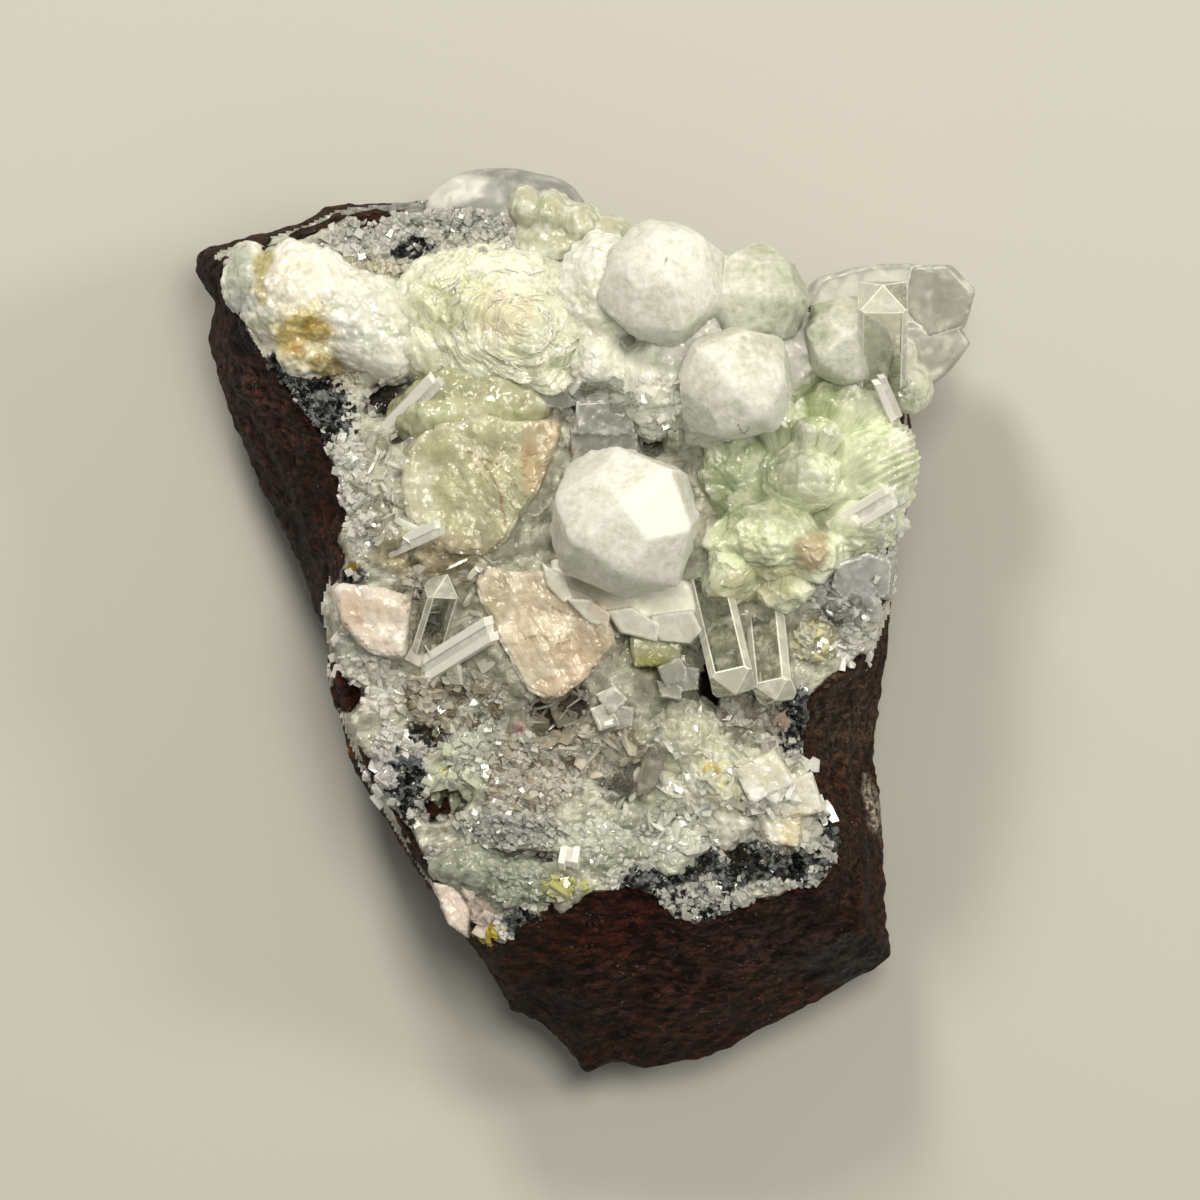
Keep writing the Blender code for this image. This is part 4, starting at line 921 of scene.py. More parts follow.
def mass_mesh(name):
    middle, lobes, kind, detail, blend = MASSES[name]
    centre = np.array(middle)
    rays, faces = sphere_directions(detail, 0.35)
    shape = [(place, np.array(widths)) for place, widths in lobes]
    points = centre + rays * lobed_reach(centre, rays, shape, blend)[:, None]
    lift, relief = surface_relief(kind, points)
    points = points + rays * lift[:, None]
    points[:, 2] = np.maximum(points[:, 2], POCKET_FLOOR - 1.0)
    low, high = MASS_COLOURS[name]
    tint = painted(points, high, MASS_SPOTS, 83, 0.3)
    # Painted shade and highlight: the colour goes towards the darker one where the relief is low, in the cracks, and
    # towards white on the crests.
    weight = (1.0 - smooth(0.05, 0.7, relief))[:, None] * 0.75
    crest = smooth(0.7, 1.0, relief)[:, None] * 0.6
    tint[:, :3] = tint[:, :3] * (1.0 - weight) + rgb(low) * weight * (0.35 + 0.65 * tint[:, :3] / rgb(high))
    tint[:, :3] = tint[:, :3] * (1.0 - crest) + rgb("#FAFBF6") * crest
    return new_mesh(name + "_growth", points, [faces], tint, kind in ("smooth", "botryoidal", "cream"))


# Crystals with flat faces


def trapezohedron_planes(centre, radius, face, edge):
    """Analcime's 24 kites. One of them looks along face, and its corner on a main axis points along edge."""
    own = Matrix([Vector(row).normalized() for row in ((2, 1, 1), (1, -1, -1), (0, 1, -1))])
    look = Vector(face).normalized()
    along = (Vector(edge) - look * Vector(edge).dot(look)).normalized()
    turned = Matrix((look, along, look.cross(along))).transposed() @ own
    planes = []
    for long_axis in range(3):
        for signs in range(8):
            direction = [2.0 if axis == long_axis else 1.0 for axis in range(3)]
            direction = Vector([-d if signs >> axis & 1 else d for axis, d in enumerate(direction)])
            mark = 0.035 * math.sin(5.0 * long_axis + 2.3 * signs + centre[0])
            planes.append((turned @ direction, radius * (1.0 + mark * 0.5)))
    return planes


def rounded_crystal(centre, planes, detail, sharpness, lift=0.0, clear_face=None):
    """A closed skin round a crystal given by its planes, with its edges rounded the more the lower sharpness is.
    Round clear_face, if given, the edges stay crisp. The last results tell how much a point is on that face and how
    near it is to any edge."""
    rays, faces = sphere_directions(detail, lift)
    normals = np.array([Vector(n).normalized() for n, _ in planes])
    distances = np.array([d for _, d in planes])
    leaning = np.clip(rays @ normals.T / distances, 0.0, None)
    ranked = np.sort(leaning, axis=1)
    strongest = ranked[:, -1]
    near_edge = smooth(0.95, 0.995, ranked[:, -2] / strongest)
    total = strongest * ((leaning / strongest[:, None]) ** sharpness).sum(axis=1) ** (1.0 / sharpness)
    on_face = np.zeros(len(rays))
    if clear_face is not None:
        look = np.array(Vector(clear_face).normalized())
        crisp = smooth(math.cos(math.radians(52.0)), math.cos(math.radians(36.0)), rays @ look)
        total = total * (1.0 - crisp) + strongest * crisp
        own = normals[:, :] @ look
        on_face = (leaning.argmax(axis=1) == own.argmax()) * 1.0
    return np.array(centre) + rays / total[:, None], rays, faces, on_face, near_edge


def block_planes(outline, floor, top, inset, tilt):
    """The planes of a block on an outline, whose walls lean in by inset and whose top rises along tilt."""
    flat = np.array(outline)
    middle = flat.mean(axis=0)
    away = (flat - middle) * (1.0 - inset)
    low = np.column_stack([flat, np.full(len(flat), floor)])
    high = np.column_stack([middle + away, top + away @ np.array(tilt)])
    centre = np.array((*middle, (floor + top) / 2.0))
    planes = [((0.0, 0.0, -1.0), centre[2] - floor)]
    cap = np.cross(high[1] - high[0], high[2] - high[0])
    sides = [np.cross(low[i] - low[i - 1], high[i] - low[i]) for i in range(len(flat))]
    for normal, point in [(cap, high[0])] + list(zip(sides, low)):
        normal = normal / np.linalg.norm(normal)
        distance = normal @ (point - centre)
        planes.append((tuple(normal if distance > 0 else -normal), abs(distance)))
    return centre, planes


def prism_planes(foot, tip, width, thickness, roll, slope, chamfer=0.0):
    """A four-sided crystal from foot to tip, with four end faces that fall by slope away from the tip. With a
    chamfer it has narrow faces in place of its long edges."""
    foot, tip = Vector(foot), Vector(tip)
    axis = (tip - foot).normalized()
    side = axis.cross(Vector((0, 0, 1))).normalized()
    side.rotate(Matrix.Rotation(roll, 3, axis))
    front = axis.cross(side)
    length = (tip - foot).length
    planes = [(side, width / 2), (-side, width / 2), (front, thickness / 2), (-front, thickness / 2)]
    planes.append((-axis, length / 2))
    for across in (side, -side, front, -front):
        direction = axis + across * slope
        planes.append((direction, length / 2 / direction.length))
    if chamfer:
        corner = (width + thickness) / 2 / math.sqrt(2.0)
        for across in (side + front, side - front, -side + front, -side - front):
            planes.append((across, corner - chamfer))
    return (foot + tip) / 2, planes, length


def lath_planes(foot, tip, width, thickness, roll):
    """A flat blade with a blunt end, a little lower on one side."""
    centre, planes, length = prism_planes(foot, tip, width, thickness, roll, 0.0)
    axis = (Vector(tip) - Vector(foot)).normalized()
    return centre, planes[:5] + [(axis + Vector(planes[0][0]) * 0.35, length / 2)], length


def cut_crystal(centre, planes, reach, bevel, cloud):
    """A crystal with sharp faces: a cube with the stone beyond each plane taken off and its edges just eased. Cloud
    tells how cloudy a face is from its direction."""
    bm = bmesh.new()
    bmesh.ops.create_cube(bm, size=2.0 * reach)
    for direction, distance in planes:
        normal = Vector(direction).normalized()
        everything = bm.verts[:] + bm.edges[:] + bm.faces[:]
        cut = bmesh.ops.bisect_plane(
            bm, geom=everything, plane_co=normal * distance, plane_no=normal, clear_outer=True
        )
        rim = [item for item in cut["geom_cut"] if isinstance(item, bmesh.types.BMEdge)]
        if len(rim) > 2:
            bmesh.ops.contextual_create(bm, geom=rim)
    bmesh.ops.remove_doubles(bm, verts=bm.verts, dist=bevel * 0.5)
    bmesh.ops.recalc_face_normals(bm, faces=bm.faces)
    bmesh.ops.bevel(bm, geom=bm.edges[:], offset=bevel, segments=1, profile=0.5, affect="EDGES")
    bmesh.ops.translate(bm, verts=bm.verts, vec=Vector(centre))
    bm.normal_update()
    points = np.array([v.co for v in bm.verts])
    faces = [[v.index for v in f.verts] for f in bm.faces]
    clouds = [cloud(f.normal) for f in bm.faces]
    bm.free()
    return points, faces, clouds


def crystal_object(name, shape, code):
    """An object of one cut crystal, coloured alike all over and as cloudy on each face as its shape says."""
    points, faces, clouds = shape
    mesh = bpy.data.meshes.new(name)
    mesh.from_pydata((points * MM).tolist(), [], faces)
    mesh.update()
    layer = mesh.color_attributes.new("tint", "FLOAT_COLOR", "CORNER")
    colour = rgb(code)
    for polygon, cloud in zip(mesh.polygons, clouds):
        for corner in polygon.loop_indices:
            layer.data[corner].color = (*colour, cloud)
    made = bpy.data.objects.new(name, mesh)
    bpy.context.scene.collection.objects.link(made)
    return made


def prism_cloud_and_sheen(planes):
    """Clear on the long faces and cloudier on the ends. The narrow faces in place of edges and the eased edges are
    white, a painted highlight.
    """
    directions = [Vector(p[0]).normalized() for p in planes]

    def cloud(normal):
        best = max(range(len(directions)), key=lambda k: normal.dot(directions[k]))
        # Painted highlight: the eased edges and the narrow faces are made white.
        if normal.dot(directions[best]) < 0.985:
            return 0.9
        return 0.0 if best < 5 else (0.5, 0.1, 0.4, 0.1)[best % 4] if best < 9 else 0.45

    return cloud




# Small crystals that fill the gaps and sit on the masses: place, half sizes and turn as for a spot, how many, their
# length, width and thickness in millimetres, colour, how far they lean, and whether they are clear
SHARDS = (
    (450, 702, 46, 28, 0, 26, (2.4, 1.3, 0.6), "#E2D9C2", 1.4, True),
    (458, 774, 26, 34, -35, 20, (1.6, 1.1, 0.6), "#DDE2C9", 1.4, False),
    (476, 735, 24, 36, 0, 18, (1.8, 1.2, 0.6), "#E4E8DA", 1.4, False),
    (525, 775, 42, 38, 0, 60, (1.2, 0.8, 0.5), "#BDB29C", 1.0, False),
    (556, 712, 34, 26, 35, 22, (4.4, 0.24, 0.2), "#F2EFE2", 1.8, False),
    (560, 735, 50, 30, 35, 16, (2.2, 1.2, 0.5), "#E8E0CC", 1.8, True),
    (600, 748, 40, 22, -20, 18, (2.6, 1.2, 0.5), "#E2DAC6", 2.2, False),
    (625, 779, 26, 15, 0, 5, (4.6, 2.4, 1.4), "#D6D3C8", 2.6, True),
    (742, 715, 24, 30, 0, 20, (1.8, 1.2, 0.7), "#DEDBD0", 0.9, True),
    (752, 760, 26, 26, 0, 30, (1.2, 0.8, 0.5), "#F3F3E8", 0.9, False),
    (726, 780, 24, 38, 30, 20, (2.6, 0.7, 0.3), "#F6F6DE", 1.0, False),
    (790, 800, 44, 40, 0, 40, (1.8, 1.5, 0.9), "#FAF9F2", 1.0, False),
    (690, 825, 34, 26, 0, 20, (2.4, 1.0, 0.4), "#ECEFE6", 1.8, False),
    (640, 838, 76, 26, 3, 90, (0.9, 0.6, 0.45), "#DFE4D8", 0.9, False),
    (660, 790, 60, 30, 0, 26, (2.0, 1.3, 0.4), "#E8ECD9", 1.8, False),
    (356, 495, 18, 62, 10, 60, (0.9, 0.7, 0.45), "#F0F0EA", 0.9, False),
    (378, 490, 22, 50, 10, 24, (3.0, 0.9, 0.35), "#F4F3E8", 1.6, True),
    (395, 500, 18, 50, 10, 26, (2.2, 0.5, 0.25), "#F6F5EC", 1.6, False),
    (362, 655, 32, 30, 0, 44, (1.1, 0.9, 0.5), "#F5F2EA", 1.0, False),
    (383, 695, 22, 26, 0, 24, (1.2, 1.0, 0.6), "#F9F6EE", 1.0, False),
    (424, 615, 20, 36, 15, 14, (4.6, 0.24, 0.2), "#F8F4E6", 1.0, False),
    (440, 668, 50, 24, 0, 16, (2.4, 1.4, 0.5), "#EDE8DA", 1.8, False),
    (470, 590, 26, 40, -15, 16, (2.6, 1.0, 0.4), "#EAE6D6", 1.6, False),
    (600, 402, 36, 18, 0, 14, (2.4, 1.9, 1.0), "#E6E8E2", 1.2, True),
    (660, 400, 34, 30, 0, 40, (1.0, 0.8, 0.4), "#F4F6EC", 1.0, False),
    (395, 236, 66, 22, -3, 90, (0.8, 0.6, 0.35), "#B2B4B0", 0.9, False),
    (470, 236, 50, 16, -8, 50, (0.9, 0.7, 0.4), "#CCCEC4", 0.9, False),
    (468, 915, 20, 30, 20, 22, (1.7, 1.4, 0.8), "#EEDFD6", 0.8, False),
    (508, 829, 50, 16, -4, 44, (1.2, 0.6, 0.3), "#C4C7C0", 1.4, False),
    (524, 886, 34, 26, 0, 40, (0.8, 0.6, 0.4), "#BEC5B7", 0.8, False),
    (858, 595, 30, 34, 0, 22, (2.0, 1.5, 0.8), "#E4E6E4", 1.2, True),
    (893, 545, 14, 56, 0, 50, (0.9, 0.7, 0.5), "#ECEDEB", 0.9, False),
    (857, 645, 25, 22, 0, 30, (1.1, 0.9, 0.6), "#FAFAF4", 0.9, False),
    (815, 640, 20, 18, 0, 16, (1.2, 0.9, 0.6), "#D8D4A6", 0.9, False),
    (382, 768, 12, 36, -5, 14, (1.5, 1.2, 0.7), "#E0DEDF", 0.7, False),
    (765, 730, 16, 22, 0, 14, (1.4, 1.1, 0.7), "#EEE9E2", 0.8, True),
    (640, 645, 56, 22, -15, 22, (3.0, 1.2, 0.4), "#F0F1E6", 2.0, True),
    (600, 616, 60, 10, -22, 34, (2.6, 0.8, 0.35), "#FCFDF8", 2.2, False),
    (660, 636, 50, 10, -12, 30, (2.8, 0.8, 0.35), "#FCFDF8", 2.2, False),
    (905, 400, 14, 30, 0, 14, (1.0, 0.8, 0.5), "#E4E9D9", 0.8, False),
    (700, 760, 60, 50, 0, 50, (1.0, 0.7, 0.4), "#F6F7EC", 1.2, False),
    (488, 936, 14, 11, 20, 22, (1.1, 0.9, 0.6), "#CDB02C", 0.8, False),
    (563, 888, 22, 8, 0, 12, (1.8, 1.3, 0.6), "#C6C480", 1.0, False),
)

# What the small crystals can stand on
GROUND = ("drusy_lining", *(name + "_growth" for name in MASSES))


def ground_trees(context, names):
    """The faces of the named pieces, ready to be met from above."""
    graph = context.evaluated_depsgraph_get()
    return [BVHTree.FromObject(bpy.data.objects[name], graph) for name in names]


def standing(trees, spots):
    """The highest surface under each spot in millimetres, and the way it faces."""
    heights, normals = np.full(len(spots), 0.0), np.tile((0.0, 0.0, 1.0), (len(spots), 1))
    for k, (x, y) in enumerate(spots):
        above = Vector((x, y, 60.0)) * MM
        for tree in trees:
            place, normal, _, _ = tree.ray_cast(above, Vector((0.0, 0.0, -1.0)))
            if place is not None and place.z / MM > heights[k]:
                heights[k] = place.z / MM
                normals[k] = normal
    return heights, normals


def turned_boxes(places, axes, sizes, random):
    """Many small crystals, each standing at its place along its axis and cut at its end to a roof of two faces."""
    count = len(places)
    box = np.array([(x, y, z) for z in (0, 0.7) for y in (-1, 1) for x in (-1, 1)] + [(-0.6, 0, 1), (0.6, 0, 1)], float)
    local = np.tile(box, (count, 1, 1))
    local[:, 4:8, :2] *= random.uniform(0.75, 1.0, (count, 1, 1))
    local[:, 4:8, 2] += 0.2 * local[:, 4:8, 0] * random.uniform(-1.0, 1.0, (count, 1))
    local[:, 8:, 1] += random.uniform(-0.5, 0.5, (count, 1))
    local[:, :, :2] *= sizes[:, None, :2] / 2.0
    local[:, :, 2] *= sizes[:, None, 2]
    side = np.cross(axes, random.normal(size=(count, 3)))
    side /= np.linalg.norm(side, axis=1, keepdims=True)
    front = np.cross(axes, side)
    turn = np.stack([side, front, axes], axis=2)
    points = np.einsum("nij,nkj->nki", turn, local) + places[:, None, :]
    quads = np.array(((0, 2, 3, 1), (0, 1, 5, 4), (2, 6, 7, 3), (0, 4, 6, 2), (1, 3, 7, 5), (4, 5, 9, 8), (6, 8, 9, 7)))
    corners = np.vstack([quads[:, (0, 1, 2)], quads[:, (0, 2, 3)], ((4, 8, 6), (5, 7, 9))])
    faces = corners[None] + 10 * np.arange(count)[:, None, None]
    return points.reshape(-1, 3), faces.reshape(-1, 3)


def shard_mesh(name, trees, clear):
    random = np.random.default_rng(421 + clear)
    all_points, all_faces, all_tints = [], [], []
    start = 0
    for x, y, wide, high, turn, count, size, code, lean, is_clear in SHARDS:
        if is_clear != clear:
            continue
        away = np.sqrt(random.uniform(0.0, 1.0, count))
        angle = random.uniform(0.0, 2.0 * math.pi, count)
        c, s = math.cos(math.radians(turn)), math.sin(math.radians(turn))
        across, along = away * np.cos(angle) * wide * MM_PER_PIXEL, away * np.sin(angle) * high * MM_PER_PIXEL
        middle = from_photo(x, y)
        spots = np.column_stack([middle[0] + across * c - along * s, middle[1] + across * s + along * c])
        height, normal = standing(trees, spots)
        axes = random.normal(size=(count, 3)) * lean * (1.0, 1.0, 0.3) + normal
        axes[:, 2] = np.abs(axes[:, 2])
        axes /= np.linalg.norm(axes, axis=1, keepdims=True)
        sizes = np.column_stack([
            size[1] * random.uniform(0.5, 1.3, count), size[2] * random.uniform(0.5, 1.3, count),
            size[0] * random.uniform(0.5, 1.25, count),
        ])
        sunk = 0.5 * sizes[:, 2:] * axes + (0.0, 0.0, 0.1)
        points, faces = turned_boxes(np.column_stack([spots, height]) - sunk, axes, sizes, random)
        shade = random.uniform(0.86, 1.06, count)[:, None]
        cloud = random.uniform(0.0, 0.6, (count, 1)) * clear
        kept = np.repeat(height > POCKET_FLOOR, 10)
        faces = faces[kept[faces[:, 0]]]
        all_points.append(points)
        all_faces.append(faces + start)
        all_tints.append(np.repeat(np.column_stack([rgb(code) * shade, cloud]), 10, axis=0))
        start += len(points)
    faces = np.vstack(all_faces)
    used, renumbered = np.unique(faces, return_inverse=True)
    points, tints = np.vstack(all_points)[used], np.vstack(all_tints)[used]
    return new_mesh(name, points, [renumbered.reshape(-1, 3)], tints, False)


def bundle(shape, edge):
    """A lath grown as a few white blades side by side that end at uneven places."""
    foot, tip, width, thickness, roll, blades = shape
    foot, tip = Vector(foot), Vector(tip)
    axis = (tip - foot).normalized()
    side = axis.cross(Vector((0, 0, 1))).normalized()
    side.rotate(Matrix.Rotation(roll, 3, axis))
    points, faces, clouds = [], [], []
    for k in range(blades):
        across = side * width * ((k + 0.5) / blades - 0.5)
        short = axis * 0.15 * (1.0 + math.sin(2.4 * k + foot.x))
        high = thickness * (1.0, 0.82)[k % 2]
        centre, planes, length = lath_planes(foot + across, tip + across - short, width / blades, high, roll)
        cut = cut_crystal(centre, planes, length, edge, lambda normal, k=k: (0.97, 0.7)[k % 2])
        start = sum(len(part) for part in points)
        points.append(cut[0])
        faces += [[corner + start for corner in face] for face in cut[1]]
        clouds += cut[2]
    return np.vstack(points), faces, clouds


def united(objects):
    """One closed body of several that overlap."""
    first = objects[0]
    for other in objects[1:]:
        change = first.modifiers.new("join", "BOOLEAN")
        change.operation = "UNION"
        change.solver = "MANIFOLD"
        change.object = other
        graph = bpy.context.evaluated_depsgraph_get()
        result = bpy.data.meshes.new_from_object(first.evaluated_get(graph))
        first.modifiers.clear()
        first.data = result
        bpy.data.objects.remove(other, do_unlink=True)
    return first


# The analcime crystals: middle, distance to the faces, where one face looks and where its long corner points, how
# sharp the edges are
ANALCIMES = {
    "analcime_large": (((3.6, 8.6, 28.6), 5.95, (0.44, 0.11, 0.89), (0.26, 0.93, -0.24), 36.0),),
    "analcime_middle": (((13.0, 20.3, 28.6), 4.65, (-0.2, -0.5, 0.84), (0.9, -0.2, 0.1), 24.0),),
    "analcime_upper_pair": (
        ((6.9, 28.9, 26.2), 4.95, (-0.35, 0.15, 0.92), (0.3, 0.9, 0.0), 26.0),
        ((14.8, 27.6, 24.0), 4.25, (0.3, 0.45, 0.84), (0.8, -0.5, 0.2), 20.0),
    ),
    "analcime_right": (((22.6, 24.0, 22.6), 3.7, (-0.1, 0.6, 0.8), (0.9, 0.1, 0.0), 26.0),),
}

# The large crystal's one bright face: crisp, glossy and painted white, a painted reflection
BRIGHT_FACE = (0.44, 0.11, 0.89)


def analcime_mesh(name, settings):
    bodies = []
    for number, (centre, radius, face, edge, sharpness) in enumerate(ANALCIMES[name]):
        planes = trapezohedron_planes(centre, radius, face, edge)
        bright = BRIGHT_FACE if name == "analcime_large" else None
        points, rays, faces, on_face, near_edge = rounded_crystal(
            centre, planes, settings.detail, sharpness, 0.0, bright
        )
        frost = fractal(points, 0.9, 3, 201)
        pits = grains(points, 0.5, 203, True)
        hills = waves(points, 2.6, 205)
        steps = grains(points, 1.7, 211, False)
        chips = grains(points, 0.7, 215, False)
        crusted = smooth(0.0, 0.5, waves(points, 3.4, 213) - 0.25 * rays[:, 2] + 0.35 * near_edge)
        rough = 0.05 * frost + 0.1 * hills - 0.05 * pits + (0.06 + 0.4 * crusted) * (steps - 0.4)
        rough = rough + (0.04 + 0.16 * crusted) * chips
        points = points + rays * ((1.0 - on_face) * rough)[:, None]
        tint = analcime_tint(points, frost, on_face, near_edge)
        # Painted shade: in the crusted places the colour darkens between the chips and lightens on their tops.
        tint[:, :3] *= (1.0 - 0.25 * (1.0 - on_face) * crusted * (0.6 - chips))[:, None]
        bodies.append(new_mesh(f"{name}_crystal_{number}", points, [faces], np.clip(tint, 0.0, 1.0)))
    made = united(bodies)
    made.name = name + "_crystal"
    return made


def analcime_tint(points, frost, on_face, near_edge):
    """Milky white, a little greyer and greener in patches and towards the rock, paler along the edges as a painted
    highlight, with an even white bright face that is a painted reflection.
    """
    milk, grey = rgb("#FBFCF6"), rgb("#C2C7B4")
    share = np.clip(0.2 + 0.8 * frost + 0.35 * waves(points, 2.4, 207), 0.0, 1.0) * 0.7
    uneven = 0.6 * fractal(points, 2.0, 3, 217)
    for spot in ANALCIME_SPOTS:
        share = share + spot[5] * within(points, spot, uneven, 0.9)
    low = 1.0 - smooth(21.5, 29.0, points[:, 2])
    # Painted light: the edges are made paler as a highlight, and the bright face whiter as a reflection.
    share = np.clip(share + 0.6 * low - 0.2 * near_edge, 0.0, 1.1) * (1.0 - 0.9 * on_face)
    colour = milk * (1.0 - share[:, None]) + grey * share[:, None]
    mark = near_lines(points, ANALCIME_MARKS, 209)[:, None] * smooth(26.0, 27.0, points[:, 2])[:, None]
    return np.column_stack([colour * (1.0 - 0.75 * mark), on_face])


# A small dark curl on the middle crystal, and a fine crack
ANALCIME_MARKS = (
    (0.09, ((736, 427), (739, 429), (739, 434), (742, 436), (748, 429))),
    (0.07, ((667, 262), (664, 266), (661, 272))),
)


# The square clear prisms: foot, tip, width, thickness, roll, slope of the end faces, width of the edge faces
PRISMS = {
    "apophyllite_stubby": ((25.4, 21.4, 22.0), (25.4, 28.6, 28.2), 4.2, 4.2, 0.0, 0.62, 0.32),
    "apophyllite_long": ((10.9, 3.2, 20.6), (13.0, -5.9, 27.0), 3.7, 3.7, 0.0, 0.75, 0.4),
    "apophyllite_small": ((15.8, 0.2, 19.6), (16.4, -6.4, 25.0), 3.4, 3.2, 0.2, 0.6, 0.42),
    "apophyllite_pointed": ((-13.3, -1.9, 20.4), (-11.3, 4.3, 25.8), 2.8, 2.3, 0.4, 1.5, 0.26),
}

# The clear rim under the largest analcime is thin plates, from the left round to the right
BLOCKS = {
    "apophyllite_stepped": (
        (((-1.2, 16.6), (4.9, 16.2), (4.9, 13.6), (-0.9, 13.2)), 19.0, 24.0, 0.06, (0.02, 0.1)),
        (((-0.6, 19.0), (4.2, 19.2), (4.8, 15.8), (-0.9, 16.0)), 19.0, 25.2, 0.08, (-0.1, 0.05))),
    "apophyllite_grey_facets": (
        (((-6.4, 18.6), (-2.0, 17.6), (1.6, 18.4), (1.6, 21.2), (-0.6, 22.6), (-4.4, 21.2)),
         18.6, 23.8, 0.3, (0.12, 0.2)),),
    "apophyllite_skirt": (
        (((-3.3, 5.8), (-2.6, 3.3), (-0.8, 1.6), (1.6, 0.3), (4.2, -0.7), (7.2, -1.3), (10.0, -1.2),
          (10.4, 0.8), (9.6, 3.6), (3.6, 6.4)), 19.4, 23.8, 0.1, (0.0, 0.14)),
        (((-3.6, 5.6), (-3.1, 3.2), (-1.4, 1.4), (-0.4, 1.9), (-1.2, 4.2)), 20.0, 26.2, 0.2, (-0.2, 0.16)),
        (((-2.0, 2.6), (0.6, -0.1), (2.6, -0.6), (2.8, 0.9), (0.6, 2.4)), 20.0, 26.0, 0.2, (-0.1, 0.3)),
        (((1.4, 1.4), (3.2, -0.9), (6.8, -1.8), (7.0, 0.0), (4.2, 1.8)), 20.0, 25.2, 0.2, (-0.06, 0.5)),
        (((5.2, 1.0), (6.2, -1.6), (9.4, -1.9), (10.6, -0.6), (9.6, 1.6)), 20.0, 24.8, 0.2, (0.1, 0.4))),
    "apophyllite_round_left": (
        (((0.9, -5.9), (2.8, -4.9), (4.2, -6.4), (2.4, -7.9)), 18.0, 25.2, 0.14, (0.3, -0.25)),
        (((0.5, -7.0), (2.6, -6.2), (3.4, -8.6), (1.4, -9.2)), 18.0, 24.9, 0.14, (-0.35, -0.15)),
        (((2.4, -6.4), (4.6, -6.9), (4.4, -8.7), (2.6, -9.2)), 18.0, 24.6, 0.14, (0.15, 0.4))),
    "apophyllite_round_right": (
        (((6.2, -3.5), (8.4, -2.5), (9.4, -4.4), (7.0, -5.6)), 18.0, 25.0, 0.14, (-0.3, 0.2)),
        (((7.8, -3.1), (10.1, -3.6), (10.0, -5.6), (8.0, -5.9)), 18.0, 24.6, 0.14, (0.35, 0.25)),
        (((6.2, -4.6), (8.6, -4.8), (8.6, -6.6), (6.6, -6.2)), 18.0, 24.4, 0.14, (-0.1, -0.45))),
    "clear_right_facets": (
        (((20.6, 3.0), (22.2, 1.2), (26.6, 2.0), (27.0, 5.6), (24.4, 6.6), (21.2, 5.4)),
         17.0, 22.6, 0.2, (-0.18, 0.16)),),
    "smoky_cluster": (
        (((18.6, 27.6), (20.0, 29.8), (24.7, 31.0), (29.4, 31.0), (31.6, 28.4), (30.6, 24.2), (24.0, 22.4),
          (19.0, 24.0)), 8.6, 16.8, 0.06, (0.0, -0.1)),
        (((28.0, 30.8), (31.6, 31.0), (33.9, 28.6), (33.0, 25.4), (29.4, 24.0), (27.2, 27.0)),
         9.4, 17.8, 0.1, (0.12, 0.06)),
        (((26.2, 26.0), (32.4, 26.0), (33.9, 23.2), (31.6, 21.6), (29.2, 18.4), (25.4, 19.0)),
         8.8, 17.2, 0.08, (-0.06, 0.06))),
    "calcite_large": (
        (((-15.9, 14.4), (-13.6, 17.4), (-9.5, 18.2), (-1.4, 17.8), (-1.2, 13.2), (-4.0, 9.6),
          (-6.4, 4.8), (-11.4, 5.2), (-15.9, 8.2)), 17.4, 25.2, 0.12, (0.05, 0.02)),),
    "calcite_beige": (
        (((-9.6, 3.6), (-8.4, 5.6), (-3.0, 4.8), (2.2, 1.8), (3.2, -1.2), (1.4, -4.4),
          (-2.7, -7.0), (-5.0, -6.0)), 17.4, 25.2, 0.1, (0.08, 0.1)),),
    "calcite_pink": (
        (((-21.2, 3.2), (-20.0, 3.8), (-14.1, 2.7), (-14.0, 0.6), (-14.8, -3.0), (-17.8, -3.0),
          (-20.6, 0.0)), 16.8, 23.8, 0.1, (0.02, 0.12)),),
    "calcite_olive": (
        (((3.8, -0.8), (8.6, -0.9), (8.5, -3.6), (4.2, -3.8)), 17.8, 23.4, 0.12, (-0.1, 0.08)),),
    "calcite_white_blocks": (
        (((12.6, -12.2), (16.4, -10.2), (18.4, -13.6), (14.2, -15.6)), 17.6, 23.8, 0.14, (-0.12, 0.1)),
        (((16.0, -13.4), (19.6, -12.4), (20.8, -16.0), (16.6, -16.8)), 17.4, 22.8, 0.16, (0.16, 0.1)),
        (((14.4, -15.2), (18.8, -15.6), (18.6, -19.2), (15.6, -18.8)), 17.2, 22.2, 0.18, (0.1, -0.16))),
    "calcite_pink_edge": (
        (((-13.0, -21.6), (-10.6, -21.8), (-9.2, -24.6), (-9.6, -27.0), (-11.4, -25.6)),
         12.6, 19.8, 0.18, (0.1, 0.1)),),
}
